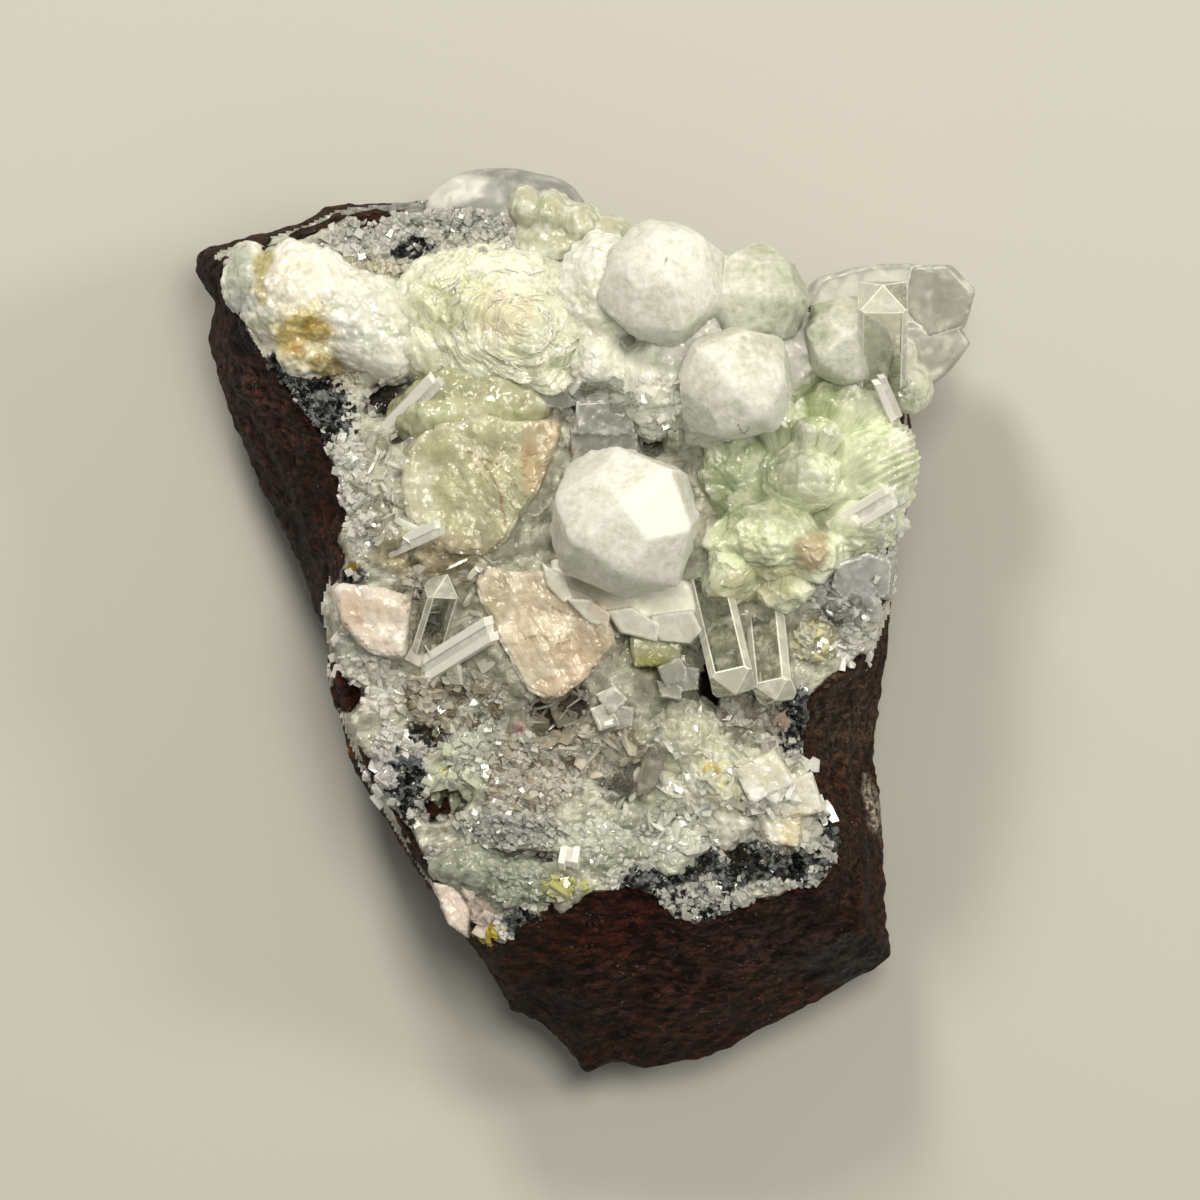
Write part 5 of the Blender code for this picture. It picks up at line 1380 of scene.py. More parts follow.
# Each block: how sharp, how coarsely broken, how finely drawn, its darker colour (banding and painted shade), its paler
# one
BLOCK_LOOK = {
    "apophyllite_stepped": (70.0, 0.02, 5, "#C2C6C2", "#F1F2EE"),
    "apophyllite_grey_facets": (60.0, 0.05, 5, "#B0B3AE", "#E4E6E2"),
    "apophyllite_skirt": (60.0, 0.05, 5, "#F3F3E0", "#FFFFF6"),
    "apophyllite_round_left": (40.0, 0.06, 5, "#D6D8CA", "#FCFCF6"),
    "apophyllite_round_right": (40.0, 0.06, 5, "#D6D8CA", "#FCFCF6"),
    "clear_right_facets": (60.0, 0.05, 5, "#A6AAA8", "#E2E4E1"),
    "smoky_cluster": (24.0, 0.03, 5, "#A8A89F", "#D0D0C7"),
    "calcite_large": (24.0, 0.05, 6, "#9A9872", "#C9C7A8"),
    "calcite_beige": (30.0, 0.14, 6, "#BFAB8A", "#F1E8D6"),
    "calcite_pink": (50.0, 0.07, 5, "#D2BBA8", "#FBF3EA"),
    "calcite_olive": (50.0, 0.04, 5, "#A3A47C", "#CFCFAE"),
    "calcite_white_blocks": (30.0, 0.12, 5, "#D0CBAC", "#FAF9F0"),
    "calcite_pink_edge": (40.0, 0.10, 5, "#C9B3A8", "#F0E3DA"),
}
BLOCK_SPOTS = (
    (418, 505, 22, 46, 5, "#E6E5D2", 0.85, 0.0),
    (485, 505, 46, 52, 0, "#CECDAE", 0.7, 0.01),
    (545, 455, 26, 34, 0, "#CFB294", 0.7, 0.1),
    (560, 490, 12, 30, 30, "#D2BD97", 0.7, 0.05),
    (440, 552, 50, 18, -5, "#C9B79A", 0.7, 0.0),
    (470, 436, 60, 16, 0, "#D2D2B6", 0.6, 0.0),
    (498, 600, 13, 60, -15, "#C6BCA0", 0.7, 0.0),
    (540, 620, 30, 40, -15, "#ECE0C9", 0.5, 0.0),
    (585, 660, 30, 30, 0, "#DCC6AC", 0.7, 0.03),
    (560, 690, 20, 14, 0, "#E0CEB8", 0.7, 0.05),
    (600, 610, 14, 10, 0, "#C59F7E", 0.4, 0.05),
    (350, 610, 16, 20, 0, "#EED6C4", 0.6, 0.0),
    (395, 600, 22, 16, 0, "#EFE5D7", 0.6, 0.0),
    (640, 662, 34, 8, 0, "#B5B25C", 0.7, 0.0),
    (800, 830, 26, 20, 0, "#EFE1B6", 0.7, 0.0),
    (940, 300, 24, 22, 0, "#C0BEB4", 0.6, 0.0),
    (920, 350, 30, 18, 0, "#B4B2A8", 0.6, 0.0),
)


def block_mesh(name):
    sharpness, rough, detail, low, high = BLOCK_LOOK[name]
    calcite = name.startswith("calcite")
    bodies = []
    for number, shape in enumerate(BLOCKS[name]):
        centre, planes = block_planes(*shape)
        points, rays, faces, _, near_edge = rounded_crystal(centre, planes, detail, sharpness, 0.25)
        slanted = np.column_stack([0.9 * points[:, 0] + 0.44 * points[:, 1],
                                   -0.44 * points[:, 0] + 0.9 * points[:, 1], points[:, 2]])
        steps = fractal(slanted * (1.6, 0.4, 1.0), 1.4, 3, 301)
        cleaved = np.floor(steps * 3.0 + 0.25 * waves(points, 1.0, 303)) / 3.0
        swirls = fractal(points + 1.1 * waves(points, 3.0, 307)[:, None], 2.2, 4, 309)
        plates = grains(points + 0.5 * waves(points, 2.0, 315)[:, None], 4.6, 317, False) - 0.4
        chips = grains(points, 1.3, 313, False) - 0.4
        fine = grains(points, 0.6, 319, False)
        scatter = rough * (0.6 * cleaved + 0.6 * steps) + 0.05 * swirls + (0.04 + (0.7 if calcite else 2.0) * rough) * chips
        if calcite:
            scatter = scatter + 0.8 * plates + 0.08 * fine + 0.7 * near_edge * (chips - 0.3)
        points = points + rays * scatter[:, None]
        tint = painted(points, high, BLOCK_SPOTS, 89, 0.6)
        # Painted shade: the colour goes towards the darker one where the steps, chips and grains sink. The swirls add
        # the block's own darker banding.
        share = np.clip(0.4 - (0.35 + rough) * steps + 0.5 * swirls - 0.2 * chips - 0.15 * fine, 0.0, 1.0)[:, None] * 0.85
        tint[:, :3] = tint[:, :3] * (1.0 - share) + rgb(low) * share * (0.35 + 0.65 * tint[:, :3] / rgb(high))
        crack = np.exp(-((swirls - 0.05) / 0.02) ** 2) * calcite * smooth(0.0, 0.3, waves(points, 3.0, 321))
        tint[:, :3] = tint[:, :3] * (1.0 - 0.4 * crack[:, None]) + rgb("#FCFBF4") * 0.4 * crack[:, None]
        vein = near_lines(points, CALCITE_VEINS, 311)[:, None] * 0.75
        tint = tint * (1.0 - vein) + np.append(rgb("#8A6640"), 0.1) * vein
        clouded = BLOCK_CLOUD.get(name, 0.0)
        # Painted highlight: the edges are painted near white, and the clear blocks are cloudier there too.
        white = (0.25 if name == "smoky_cluster" else 0.6 if clouded else 0.3) * near_edge[:, None]
        tint[:, :3] = tint[:, :3] * (1.0 - white) + rgb("#FBFBF8") * white
        if clouded:
            tint[:, 3] = np.clip(np.maximum(tint[:, 3], clouded) + white[:, 0], 0.0, 1.0)
        bodies.append(new_mesh(f"{name}_block_{number}", points, [faces], tint, not calcite))
    made = united(bodies)
    made.name = name + "_block"
    return made


# Brown veins in the large calcite and along its edge
CALCITE_VEINS = (
    (0.16, ((470, 452), (480, 459), (492, 475), (501, 496), (504, 512), (506, 528))),
    (0.12, ((480, 459), (496, 464), (512, 476))),
    (0.24, ((566, 473), (545, 497), (524, 524), (500, 543), (492, 552))),
    (0.12, ((492, 552), (505, 560))),
    (0.10, ((520, 444), (527, 458), (524, 470))),
    (0.08, ((484, 444), (500, 450), (516, 449), (533, 456), (545, 452))),
    (0.08, ((496, 464), (508, 462), (522, 470), (530, 484), (548, 478))),
    (0.07, ((512, 476), (518, 492), (530, 500))),
    (0.07, ((501, 496), (512, 502), (520, 512))),
    (0.06, ((476, 456), (478, 470), (488, 482))),
    (0.08, ((545, 600), (560, 612), (578, 616), (596, 628))),
    (0.07, ((520, 640), (540, 634), (556, 644), (574, 640))),
)

# How cloudy the clear blocks are, from 0 for clear to 1 for white
BLOCK_CLOUD = {
    "apophyllite_stepped": 0.3,
    "apophyllite_grey_facets": 0.4,
    "apophyllite_skirt": 0.9,
    "apophyllite_round_left": 0.45,
    "apophyllite_round_right": 0.45,
    "clear_right_facets": 0.5,
    "smoky_cluster": 0.62,
}


# The white laths: foot, tip, width, thickness, roll, and how many blades lie side by side
LATHS = {
    "lath_upper": ((-17.4, 15.6, 20.4), (-12.3, 20.7, 24.8), 1.5, 0.9, 0.2, 2),
    "lath_right_small": ((26.6, 17.6, 22.6), (25.1, 20.8, 25.4), 1.2, 0.8, 0.1, 2),
    "lath_left": ((-14.2, -4.4, 19.6), (-7.7, -0.4, 26.4), 2.1, 1.1, -0.2, 3),
    "lath_right": ((21.4, 8.0, 22.2), (26.2, 10.9, 25.6), 2.0, 1.0, 0.1, 3),
    "lath_lower": ((-0.4, -16.4, 18.4), (-1.1, -20.4, 22.6), 1.7, 0.9, 0.25, 3),
    "lath_blade": ((-17.4, 5.8, 23.2), (-11.9, 8.2, 28.0), 1.4, 0.8, 0.0, 2),
}


# Grains that stand on the crust


def cube_grains(places, sizes, random, tall):
    """Many small square crystals, each at its place and turned its own way."""
    count = len(places)
    box = np.array([(x, y, z) for z in (-1, 1) for y in (-1, 1) for x in (-1, 1)], float)
    box[:, 2] *= tall
    box[4:, :2] *= 0.55
    quads = np.array(((0, 2, 3, 1), (4, 5, 7, 6), (0, 1, 5, 4), (2, 6, 7, 3), (0, 4, 6, 2), (1, 3, 7, 5)))
    turn = random.normal(size=(count, 4))
    turn /= np.linalg.norm(turn, axis=1, keepdims=True)
    w, x, y, z = turn.T
    matrix = np.stack([
        1 - 2 * (y * y + z * z), 2 * (x * y - z * w), 2 * (x * z + y * w),
        2 * (x * y + z * w), 1 - 2 * (x * x + z * z), 2 * (y * z - x * w),
        2 * (x * z - y * w), 2 * (y * z + x * w), 1 - 2 * (x * x + y * y),
    ], axis=1).reshape(-1, 3, 3)
    points = np.einsum("nij,kj->nki", matrix, box) * sizes[:, None, None] / 2.0 + places[:, None, :]
    faces = quads[None] + 8 * np.arange(count)[:, None, None]
    return points.reshape(-1, 3), faces.reshape(-1, 4)


def crust_grains(name, count, low, high, size, shade, seed):
    """Grains on the crust where the amount of dark grains is between low and high."""
    random = np.random.default_rng(seed)
    corner, other = ROCK_EDGE[:, 2:4].min(axis=0), ROCK_EDGE[:, 2:4].max(axis=0)
    spots = random.uniform(corner, other, size=(count * 12, 2))
    height, relief, inside = crust_height(spots[:, 0], spots[:, 1])
    spread = np.column_stack([spots, height])
    colour = painted(spread, "#D9DACF", CRUST_SPOTS, 77)
    fits = (inside > 0.3) & (colour[:, 3] >= low) & (colour[:, 3] <= high) & (relief > 0.12)
    places = spread[fits][:count]
    sizes = size * random.uniform(0.4, 1.6, len(places))
    points, faces = cube_grains(places, sizes, random, 1.3)
    own = colour[fits][:count, :3]
    pale = np.clip(own * (1.0 - shade) + rgb("#F7F7F2") * shade, 0.0, 1.0) * random.uniform(0.8, 1.1, (len(own), 1))
    tint = np.column_stack([pale, np.zeros(len(own))])
    return new_mesh(name, points, [faces], np.repeat(tint, 8, axis=0), False)


# Finishes


def basalt_finish():
    """Basalt, fine grained and broken: matte dark red brown in fine wrinkles, with near black and tan grains. The
    wrinkles' troughs and the fine pits are painted darker as shade, and their ridges lighter as highlight.
    """
    material, tree, output, place = finish_tree("basalt broken face")
    tint = add(tree, "ShaderNodeVertexColor", layer_name="tint")
    grain = add(tree, "ShaderNodeTexNoise", {"Vector": place, "Scale": per_mm(0.8), "Detail": 9.0, "Roughness": 0.7})
    fine = add(tree, "ShaderNodeTexNoise", {"Vector": place, "Scale": per_mm(0.22), "Detail": 4.0, "Roughness": 0.7})
    lying = add(tree, "ShaderNodeVectorMath", {0: place, 1: (0.6, 1.5, 1.0)}, operation="MULTIPLY")
    wrinkle = add(tree, "ShaderNodeTexNoise", {"Vector": lying.outputs["Vector"], "Scale": per_mm(0.75), "Detail": 5.0,
                                               "Roughness": 0.6, "Distortion": 0.6})
    speck = add(tree, "ShaderNodeTexVoronoi", {"Vector": place, "Scale": per_mm(0.5)})
    # Painted shade and highlight: the wrinkles' troughs and the fine pits darken the colour and their ridges lighten
    # it, following the bumps below.
    dark = add(tree, "ShaderNodeMapRange", {"Value": wrinkle.outputs["Fac"], "From Min": 0.42, "From Max": 0.58,
                                            "To Min": 0.25, "To Max": 1.9})
    grit = add(tree, "ShaderNodeMapRange", {"Value": fine.outputs["Fac"], "From Min": 0.35, "From Max": 0.65,
                                            "To Min": 0.5, "To Max": 1.5})
    both = add(tree, "ShaderNodeMath", {0: dark.outputs["Result"], 1: grit.outputs["Result"]}, operation="MULTIPLY")
    shade = add(tree, "ShaderNodeMixRGB", {"Fac": 1.0, "Color1": tint.outputs["Color"],
                                           "Color2": both.outputs["Value"]}, blend_type="MULTIPLY")
    bright = add(tree, "ShaderNodeMath", {0: speck.outputs["Distance"], 1: 0.2}, operation="LESS_THAN")
    few = add(tree, "ShaderNodeTexNoise", {"Vector": place, "Scale": per_mm(2.2), "Detail": 4.0})
    chosen = add(tree, "ShaderNodeMapRange", {"Value": few.outputs["Fac"], "From Min": 0.54, "From Max": 0.62})
    flecks = add(tree, "ShaderNodeMath", {0: bright.outputs["Value"], 1: chosen.outputs["Result"]},
                 operation="MULTIPLY")
    colour = add(tree, "ShaderNodeMixRGB", {"Fac": flecks.outputs["Value"], "Color1": shade.outputs["Color"],
                                            "Color2": hex_colour("#87766A")})
    rough = add(tree, "ShaderNodeMapRange", {"Value": grain.outputs["Fac"], "To Min": 0.35, "To Max": 0.75})
    wide = add(tree, "ShaderNodeBump", {"Height": wrinkle.outputs["Fac"], "Distance": 0.9 * MM, "Strength": 1.0})
    bump = add(tree, "ShaderNodeBump", {"Height": grain.outputs["Fac"], "Distance": 0.5 * MM, "Strength": 1.0,
                                        "Normal": wide.outputs["Normal"]})
    small = add(tree, "ShaderNodeBump", {"Height": fine.outputs["Fac"], "Distance": 0.15 * MM, "Strength": 1.0,
                                         "Normal": bump.outputs["Normal"]})
    shader = add(tree, "ShaderNodeBsdfPrincipled", {
        "Base Color": colour.outputs["Color"], "Roughness": rough.outputs["Result"],
        "Normal": small.outputs["Normal"], "IOR": 1.4, "Specular IOR Level": 0.3,
    })
    tree.links.new(shader.outputs["BSDF"], output.inputs["Surface"])
    return material


def mineral_finish(name, subsurface, radius, roughness, sparkle, grain_size, glint=0.0):
    """A pale mineral that light soaks into: its own colours, cloudy patches, dark grains where it has them, and
    tiny glassy facets that glint."""
    material, tree, output, place = finish_tree(name)
    tint = add(tree, "ShaderNodeVertexColor", layer_name="tint")
    cloud = add(tree, "ShaderNodeTexNoise", {"Vector": place, "Scale": per_mm(grain_size * 2.5), "Detail": 6.0,
                                             "Roughness": 0.65})
    tone = add(tree, "ShaderNodeMapRange", {"Value": cloud.outputs["Fac"], "From Min": 0.3, "From Max": 0.7,
                                            "To Min": 0.8, "To Max": 1.12})
    shade = add(tree, "ShaderNodeMixRGB", {"Fac": 1.0, "Color1": tint.outputs["Color"],
                                           "Color2": tone.outputs["Result"]}, blend_type="MULTIPLY")
    pepper = add(tree, "ShaderNodeTexNoise", {"Vector": place, "Scale": per_mm(0.55), "Detail": 4.0,
                                              "Roughness": 0.7})
    wanted = add(tree, "ShaderNodeMapRange", {"Value": tint.outputs["Alpha"], "To Min": 0.30, "To Max": 0.54})
    black = add(tree, "ShaderNodeMath", {0: wanted.outputs["Result"], 1: pepper.outputs["Fac"]},
                operation="SUBTRACT")
    amount = add(tree, "ShaderNodeMapRange", {"Value": black.outputs["Value"], "From Min": -0.01,
                                              "From Max": 0.03})
    colour = add(tree, "ShaderNodeMixRGB", {"Fac": amount.outputs["Result"], "Color1": shade.outputs["Color"],
                                            "Color2": hex_colour("#1B1D1C")})
    facet = add(tree, "ShaderNodeTexVoronoi", {"Vector": place, "Scale": per_mm(grain_size)})
    rough = add(tree, "ShaderNodeMapRange", {"Value": facet.outputs["Color"], "To Min": roughness * 0.45,
                                             "To Max": roughness * 1.4})
    fine = add(tree, "ShaderNodeBump", {"Height": cloud.outputs["Fac"], "Distance": 0.12 * MM, "Strength": 0.5})
    facets = facet_bump(tree, place, grain_size, sparkle, fine.outputs["Normal"])
    shader = add(tree, "ShaderNodeBsdfPrincipled", {
        "Base Color": colour.outputs["Color"], "Roughness": rough.outputs["Result"],
        "Normal": facets, "IOR": 1.6, "Subsurface Weight": subsurface,
        "Subsurface Radius": radius, "Subsurface Scale": 1.0 * MM, "Coat Weight": glint,
        "Coat Roughness": 0.08, "Coat IOR": 1.6,
    })
    tree.links.new(shader.outputs["BSDF"], output.inputs["Surface"])
    return material


def clear_finish(name, absorbed, density, roughness, ior):
    """A clear mineral: light goes through, with a faint body colour. It is cloudy where its tint says so and in
    wisps, and its faces are slightly etched."""
    material, tree, output, place = finish_tree(name)
    tint = add(tree, "ShaderNodeVertexColor", layer_name="tint")
    veil = add(tree, "ShaderNodeTexNoise", {"Vector": place, "Scale": per_mm(1.2), "Detail": 5.0, "Roughness": 0.6})
    wisps = add(tree, "ShaderNodeMapRange", {"Value": veil.outputs["Fac"], "From Min": 0.5, "From Max": 0.75,
                                             "To Min": 0.0, "To Max": 0.4})
    cloudy = add(tree, "ShaderNodeMath", {0: tint.outputs["Alpha"], 1: wisps.outputs["Result"]}, operation="ADD",
                 use_clamp=True)
    clearness = add(tree, "ShaderNodeMath", {0: 1.0, 1: cloudy.outputs["Value"]}, operation="SUBTRACT",
                    use_clamp=True)
    rough = add(tree, "ShaderNodeMapRange", {"Value": cloudy.outputs["Value"], "To Min": roughness,
                                             "To Max": roughness + 0.2})
    bump = add(tree, "ShaderNodeBump", {"Height": veil.outputs["Fac"], "Distance": 0.1 * MM, "Strength": 0.2})
    shader = add(tree, "ShaderNodeBsdfPrincipled", {
        "Base Color": tint.outputs["Color"], "Roughness": rough.outputs["Result"], "IOR": ior,
        "Transmission Weight": clearness.outputs["Value"], "Normal": bump.outputs["Normal"],
    })
    inside = add(tree, "ShaderNodeVolumeAbsorption", {"Color": hex_colour(absorbed), "Density": density})
    tree.links.new(shader.outputs["BSDF"], output.inputs["Surface"])
    tree.links.new(inside.outputs["Volume"], output.inputs["Volume"])
    return material


def analcime_finish():
    """Analcime grown as one crystal: milky and frosted by fine growth pits, glossy and evenly pale where the tint
    marks the one bright face, whose white is a painted reflection."""
    material, tree, output, place = finish_tree("analcime grown faces")
    tint = add(tree, "ShaderNodeVertexColor", layer_name="tint")
    pits = add(tree, "ShaderNodeTexNoise", {"Vector": place, "Scale": per_mm(0.5), "Detail": 6.0, "Roughness": 0.75})
    tone = add(tree, "ShaderNodeMapRange", {"Value": pits.outputs["Fac"], "From Min": 0.32, "From Max": 0.62,
                                            "To Min": 0.74, "To Max": 1.08})
    frosty = add(tree, "ShaderNodeMath", {0: 1.0, 1: tint.outputs["Alpha"]}, operation="SUBTRACT")
    share = add(tree, "ShaderNodeMath", {0: frosty.outputs["Value"], 1: 0.85}, operation="MULTIPLY")
    even = add(tree, "ShaderNodeMixRGB", {"Fac": share.outputs["Value"], "Color1": (0.93, 0.93, 0.92, 1.0),
                                          "Color2": tone.outputs["Result"]})
    colour = add(tree, "ShaderNodeMixRGB", {"Fac": 1.0, "Color1": tint.outputs["Color"],
                                            "Color2": even.outputs["Color"]}, blend_type="MULTIPLY")
    rough = add(tree, "ShaderNodeMapRange", {"Value": tint.outputs["Alpha"], "To Min": 0.3, "To Max": 0.34})
    depth = add(tree, "ShaderNodeMapRange", {"Value": tint.outputs["Alpha"], "To Min": 0.7, "To Max": 0.08})
    bump = add(tree, "ShaderNodeBump", {"Height": pits.outputs["Fac"], "Distance": 0.16 * MM,
                                        "Strength": depth.outputs["Result"]})
    shader = add(tree, "ShaderNodeBsdfPrincipled", {
        "Base Color": colour.outputs["Color"], "Roughness": rough.outputs["Result"],
        "Normal": bump.outputs["Normal"], "IOR": 1.49, "Subsurface Weight": 0.75,
        "Subsurface Radius": (2.6, 2.7, 2.4), "Subsurface Scale": 1.0 * MM,
    })
    tree.links.new(shader.outputs["BSDF"], output.inputs["Surface"])
    return material


def floor_finish():
    """A matt painted board: pale, with a barely seen unevenness."""
    material, tree, output, place = finish_tree("painted board")
    uneven = add(tree, "ShaderNodeTexNoise", {"Vector": place, "Scale": per_mm(60.0), "Detail": 3.0})
    colour = add(tree, "ShaderNodeMixRGB", {"Fac": uneven.outputs["Fac"], "Color1": hex_colour("#CBCAC4"),
                                            "Color2": hex_colour("#CFCEC9")})
    shader = add(tree, "ShaderNodeBsdfPrincipled", {"Base Color": colour.outputs["Color"], "Roughness": 0.8})
    tree.links.new(shader.outputs["BSDF"], output.inputs["Surface"])
    return material


# What a user would change


class BasaltSettings(bpy.types.PropertyGroup):
    columns: IntProperty(name="Columns", description="Points round the stone", default=660, min=100)
    grit: FloatProperty(name="Grit", description="Height of the fine grit, in millimetres", default=0.34)
    colour: FloatVectorProperty(name="Colour", description="The broken face's colour", subtype="COLOR",
                                default=hex_colour("#3F2415")[:3])


class CrustSettings(bpy.types.PropertyGroup):
    step: FloatProperty(name="Step", description="Distance between the crust's points", subtype="DISTANCE",
                        default=0.22 * MM)
    grain_count: IntProperty(name="Grains", description="Pale grains that stand on the crust", default=3600)
    dark_count: IntProperty(name="Dark grains", description="Dark grains in the contact zones", default=2200)
    colour: FloatVectorProperty(name="Colour", description="The crust where nothing stains it", subtype="COLOR",
                                default=hex_colour("#DBDBCC")[:3])


class AnalcimeSettings(bpy.types.PropertyGroup):
    detail: IntProperty(name="Detail", description="How often each crystal's skin is divided", default=6, min=3)


class ClearSettings(bpy.types.PropertyGroup):
    edge: FloatProperty(name="Eased edge", description="Width of the eased edges, in millimetres", default=0.07)


class StageSettings(bpy.types.PropertyGroup):
    lens: FloatProperty(name="Lens", description="Focal length in millimetres", default=300.0)
    key_power: FloatProperty(name="Key light", description="Power of the light from the right", default=1.1)
    top_power: FloatProperty(name="Top light", description="Power of the light from the top end", default=2.2)
    front_power: FloatProperty(name="Front light", description="Power of the light by the camera", default=2.6)
    warmth: FloatVectorProperty(name="Light colour", description="Colour of the lights", subtype="COLOR",
                                default=hex_colour("#FFF8E8")[:3])


# Operators, one for each piece or group of like pieces


class SPECIMEN_OT_basalt(bpy.types.Operator):
    """Builds the broken basalt that everything grew on"""

    bl_idname = "specimen.basalt"
    bl_label = "Basalt"

    def execute(self, context):
        made = rock_mesh(context.scene.specimen_basalt)
        place_piece(made, basalt_finish(), "basalt", "basalt_matrix")
        return {"FINISHED"}


class SPECIMEN_OT_crust(bpy.types.Operator):
    """Builds the crust of tiny crystals that lines the pocket, and the grains that stand on it"""

    bl_idname = "specimen.crust"
    bl_label = "Crust"

    def execute(self, context):
        settings = context.scene.specimen_crust
        finish = mineral_finish("druse grown crust", 0.4, (1.0, 1.0, 0.9), 0.22, 0.7, 0.45)
        place_piece(crust_mesh(settings), finish, "druse", "drusy_crust")
        sugar = mineral_finish("druse grown grains", 0.5, (0.6, 0.6, 0.55), 0.2, 0.0, 0.6, 0.6)
        pale = crust_grains("pale_grains", settings.grain_count, 0.12, 0.7, 0.46, 0.45, 401)
        place_piece(pale, sugar, "druse")
        dark = crust_grains("dark_grains", settings.dark_count, 0.45, 1.0, 0.36, 0.0, 403)
        place_piece(dark, dark_grain_finish(), "druse")
        return {"FINISHED"}


class SPECIMEN_OT_small_crystals(bpy.types.Operator):
    """Builds the small crystals in the gaps and on the masses, and the rosette's plates, once those are built"""

    bl_idname = "specimen.small_crystals"
    bl_label = "Small crystals"

    def execute(self, context):
        ground = ground_trees(context, GROUND)
        white = mineral_finish("small crystals grown", 0.6, (0.9, 0.9, 0.8), 0.16, 0.0, 0.7, 0.6)
        place_piece(shard_mesh("gap_crystals", ground, False), white, "druse")
        glassy = clear_finish("small clear crystals grown", "#F0EFE6", 40.0, 0.06, 1.54)
        place_piece(shard_mesh("clear_gap_crystals", ground, True), glassy, "clear_crystal")
        plates = mineral_finish("prehnite grown in plates", 0.6, (1.0, 1.0, 0.9), 0.25, 0.0, 0.5, 0.5)
        rosette = ground_trees(context, ("prehnite_rosette_growth",))[0]
        place_piece(rosette_plates(rosette), plates, "prehnite_green")
        return {"FINISHED"}



def dark_grain_finish():
    """Chlorite and iron oxide grains, grown small: near black with a glassy glint."""
    material, tree, output, place = finish_tree("chlorite grains")
    mix = add(tree, "ShaderNodeTexNoise", {"Vector": place, "Scale": per_mm(1.1), "Detail": 2.0})
    step = add(tree, "ShaderNodeMapRange", {"Value": mix.outputs["Fac"], "From Min": 0.5, "From Max": 0.58})
    colour = add(tree, "ShaderNodeMixRGB", {"Fac": step.outputs["Result"], "Color1": hex_colour("#121417"),
                                            "Color2": hex_colour("#6F7476")})
    shader = add(tree, "ShaderNodeBsdfPrincipled", {"Base Color": colour.outputs["Color"], "Roughness": 0.25})
    tree.links.new(shader.outputs["BSDF"], output.inputs["Surface"])
    return material


class SPECIMEN_OT_prehnite(bpy.types.Operator):
    """Builds the masses of prehnite"""

    bl_idname = "specimen.prehnite"
    bl_label = "Prehnite"

    def execute(self, context):
        finish = mineral_finish("prehnite grown in lobes", 0.5, (1.1, 1.1, 1.0), 0.2, 0.45, 0.6)
        for name in MASSES:
            slot = "prehnite_cream" if name in ("prehnite_cream_ball", "prehnite_lower_mass") else "prehnite_green"
            place_piece(mass_mesh(name), finish, slot, name)
        return {"FINISHED"}


class SPECIMEN_OT_analcime(bpy.types.Operator):
    """Builds the milky analcime crystals"""

    bl_idname = "specimen.analcime"
    bl_label = "Analcime"

    def execute(self, context):
        finish = analcime_finish()
        for name in ANALCIMES:
            place_piece(analcime_mesh(name, context.scene.specimen_analcime), finish, "analcime", name)
        return {"FINISHED"}


class SPECIMEN_OT_blocks(bpy.types.Operator):
    """Builds the blocky calcite and the cloudy clear blocks"""

    bl_idname = "specimen.blocks"
    bl_label = "Blocks"

    def execute(self, context):
        calcite = mineral_finish("calcite cleaved", 0.5, (1.6, 1.5, 1.2), 0.26, 0.35, 0.7)
        clear = clear_finish("apophyllite grown blocks", "#DDE0D8", 50.0, 0.06, 1.535)
        smoky = clear_finish("smoky quartz grown", "#A3A198", 90.0, 0.15, 1.544)
        for name in BLOCKS:
            made = block_mesh(name)
            if name.startswith("calcite"):
                slot = {"calcite_large": "calcite_olive", "calcite_olive": "calcite_olive",
                        "calcite_white_blocks": "calcite_white"}.get(name, "calcite_pink")
                place_piece(made, calcite, slot, name)
            elif name == "smoky_cluster":
                place_piece(made, smoky, "smoky_crystal", name)
            else:
                place_piece(made, clear, "clear_crystal", name)
        return {"FINISHED"}


class SPECIMEN_OT_prisms(bpy.types.Operator):
    """Builds the square clear prisms and the white laths"""

    bl_idname = "specimen.prisms"
    bl_label = "Prisms and laths"

    def execute(self, context):
        edge = context.scene.specimen_clear.edge
        glassy = clear_finish("apophyllite grown prisms", "#F0F1EA", 25.0, 0.03, 1.535)
        white = clear_finish("scolecite laths grown", "#F6F6F0", 30.0, 0.08, 1.52)
        for name, shape in PRISMS.items():
            centre, planes, length = prism_planes(*shape)
            cut = cut_crystal(centre, planes, length, edge, prism_cloud_and_sheen(planes))
            place_piece(crystal_object(name + "_prism", cut, "#F9FAF0"), glassy, "clear_crystal", name)
        for name, shape in LATHS.items():
            place_piece(crystal_object(name + "_blade", bundle(shape, edge * 0.5), "#FFFFFA"), white,
                        "white_lath", name)
        return {"FINISHED"}


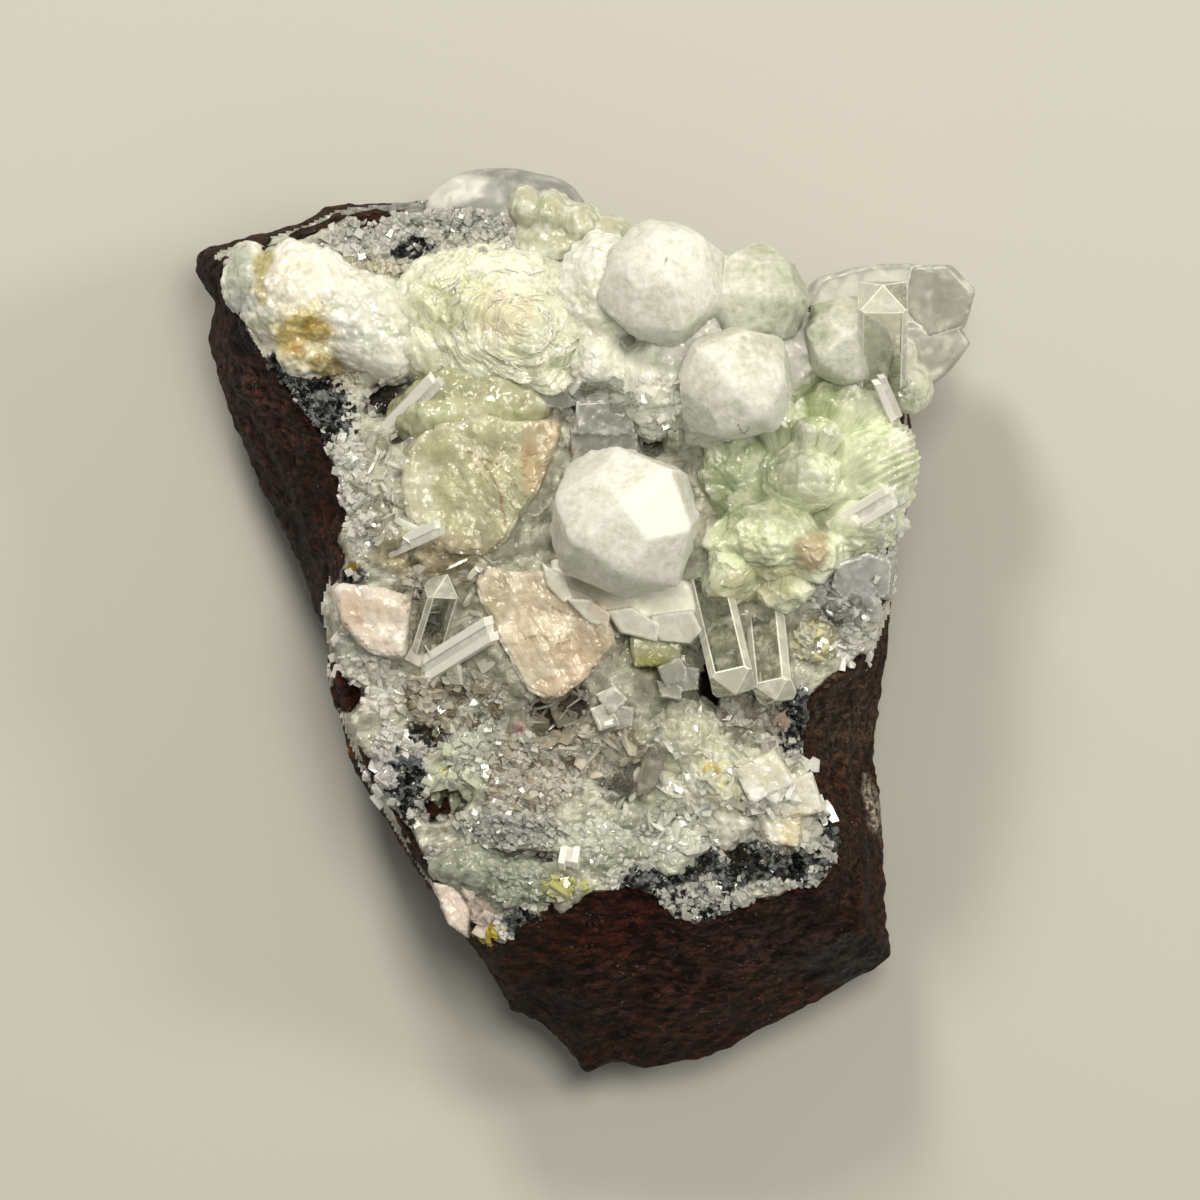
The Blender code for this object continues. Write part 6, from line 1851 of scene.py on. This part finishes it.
class SPECIMEN_OT_dome(bpy.types.Operator):
    """Builds the clear dome on the top edge"""

    bl_idname = "specimen.dome"
    bl_label = "Clear dome"

    def execute(self, context):
        centre = np.array((-7.0, 34.8, 14.6))
        lobes = [((-7.2, 35.0, 14.8), np.array((6.6, 4.0, 4.6))), ((-3.4, 35.4, 14.4), np.array((3.8, 2.8, 3.8)))]
        rays, faces = sphere_directions(5, 0.2)
        points = centre + rays * lobed_reach(centre, rays, lobes, 2.0)[:, None]
        facets = grains(points, 4.0, 501, True)
        points = points + rays * (0.4 * (facets - 0.5) + 0.05 * fractal(points, 1.2, 2, 503))[:, None]
        # Painted highlight: a patch on the dome's left is painted paler and made cloudier.
        bright = within(points, (452, 190, 34, 16, 20))
        cloud = np.clip(0.55 + 0.3 * bright + 0.3 * fractal(points, 2.0, 3, 505), 0.0, 1.0)
        colour = rgb("#BDBFBD") * (1.0 - bright[:, None]) + rgb("#EDEEE9") * bright[:, None]
        made = new_mesh("clear_dome_crystal", points, [faces], np.column_stack([colour, cloud]))
        place_piece(made, clear_finish("quartz dome grown", "#C9CBC8", 60.0, 0.22, 1.544),
                    "clear_crystal", "clear_dome")
        return {"FINISHED"}


class SPECIMEN_OT_stage(bpy.types.Operator):
    """Sets the floor, the lights and the camera"""

    bl_idname = "specimen.stage"
    bl_label = "Stage"

    def execute(self, context):
        settings = context.scene.specimen_stage
        bpy.ops.mesh.primitive_plane_add(size=6.0, location=(0.0, 0.0, -0.00005))
        floor = context.active_object
        floor.name = "floor"
        floor.data.materials.append(floor_finish())
        add_light("key", (0.51, 0.135, 0.42), 0.14, settings.key_power, settings.warmth)
        add_light("top", (-0.15, 0.50, 0.42), 0.12, settings.top_power, settings.warmth)
        add_light("front", (0.10, 0.16, 0.75), 0.26, settings.front_power, settings.warmth)
        world = bpy.data.worlds.new("studio")
        world.use_nodes = True
        world.node_tree.nodes["Background"].inputs["Color"].default_value = hex_colour("#DAD8CE")
        world.node_tree.nodes["Background"].inputs["Strength"].default_value = 0.25
        context.scene.world = world
        self.set_camera(context.scene, settings.lens)
        context.scene.view_settings.view_transform = "Standard"
        context.scene.cycles.use_denoising = True
        context.scene.cycles.transparent_max_bounces = 12
        return {"FINISHED"}

    def set_camera(self, scene, lens):
        """Straight above, framed as the photograph: its middle and its scale at the crystals' height."""
        data = bpy.data.cameras.new("camera")
        data.lens = lens
        data.sensor_width = 36.0
        data.clip_start = 0.01
        camera = bpy.data.objects.new("camera", data)
        scene.collection.objects.link(camera)
        distance = PHOTO_SIDE * MM_PER_PIXEL * MM * lens / data.sensor_width
        across, along = from_photo(PHOTO_SIDE / 2, PHOTO_SIDE / 2)
        camera.location = (across * MM, along * MM, distance + 20.0 * MM)
        scene.camera = camera


def add_light(name, place, size, power, colour):
    data = bpy.data.lights.new(name, "AREA")
    data.energy = power
    data.size = size
    data.color = colour
    light = bpy.data.objects.new(name, data)
    bpy.context.scene.collection.objects.link(light)
    light.location = place
    light.rotation_euler = Vector(place).to_track_quat("Z", "Y").to_euler()


class SPECIMEN_PT_panel(bpy.types.Panel):
    """Lists the pieces in the 3D view's sidebar"""

    bl_label = "Specimen"
    bl_idname = "SPECIMEN_PT_panel"
    bl_space_type = "VIEW_3D"
    bl_region_type = "UI"
    bl_category = "Specimen"

    def draw(self, context):
        for operator in OPERATORS:
            self.layout.operator(operator.bl_idname)
        for name in SETTINGS:
            group = getattr(context.scene, name)
            for prop in group.__annotations__:
                self.layout.prop(group, prop)


OPERATORS = (
    SPECIMEN_OT_basalt,
    SPECIMEN_OT_crust,
    SPECIMEN_OT_prehnite,
    SPECIMEN_OT_analcime,
    SPECIMEN_OT_blocks,
    SPECIMEN_OT_prisms,
    SPECIMEN_OT_dome,
    SPECIMEN_OT_small_crystals,
    SPECIMEN_OT_stage,
)
SETTINGS = {
    "specimen_basalt": BasaltSettings,
    "specimen_crust": CrustSettings,
    "specimen_analcime": AnalcimeSettings,
    "specimen_clear": ClearSettings,
    "specimen_stage": StageSettings,
}


def register():
    for group in SETTINGS.values():
        bpy.utils.register_class(group)
    for name, group in SETTINGS.items():
        setattr(bpy.types.Scene, name, PointerProperty(type=group))
    for item in (*OPERATORS, SPECIMEN_PT_panel):
        bpy.utils.register_class(item)


def unregister():
    for item in reversed((*OPERATORS, SPECIMEN_PT_panel)):
        bpy.utils.unregister_class(item)
    for name in SETTINGS:
        delattr(bpy.types.Scene, name)
    for group in reversed(SETTINGS.values()):
        bpy.utils.unregister_class(group)


def main():
    register()
    bpy.ops.specimen.basalt()
    bpy.ops.specimen.crust()
    bpy.ops.specimen.prehnite()
    bpy.ops.specimen.analcime()
    bpy.ops.specimen.blocks()
    bpy.ops.specimen.prisms()
    bpy.ops.specimen.dome()
    bpy.ops.specimen.small_crystals()
    bpy.ops.specimen.stage()


if __name__ == "__main__":
    main()
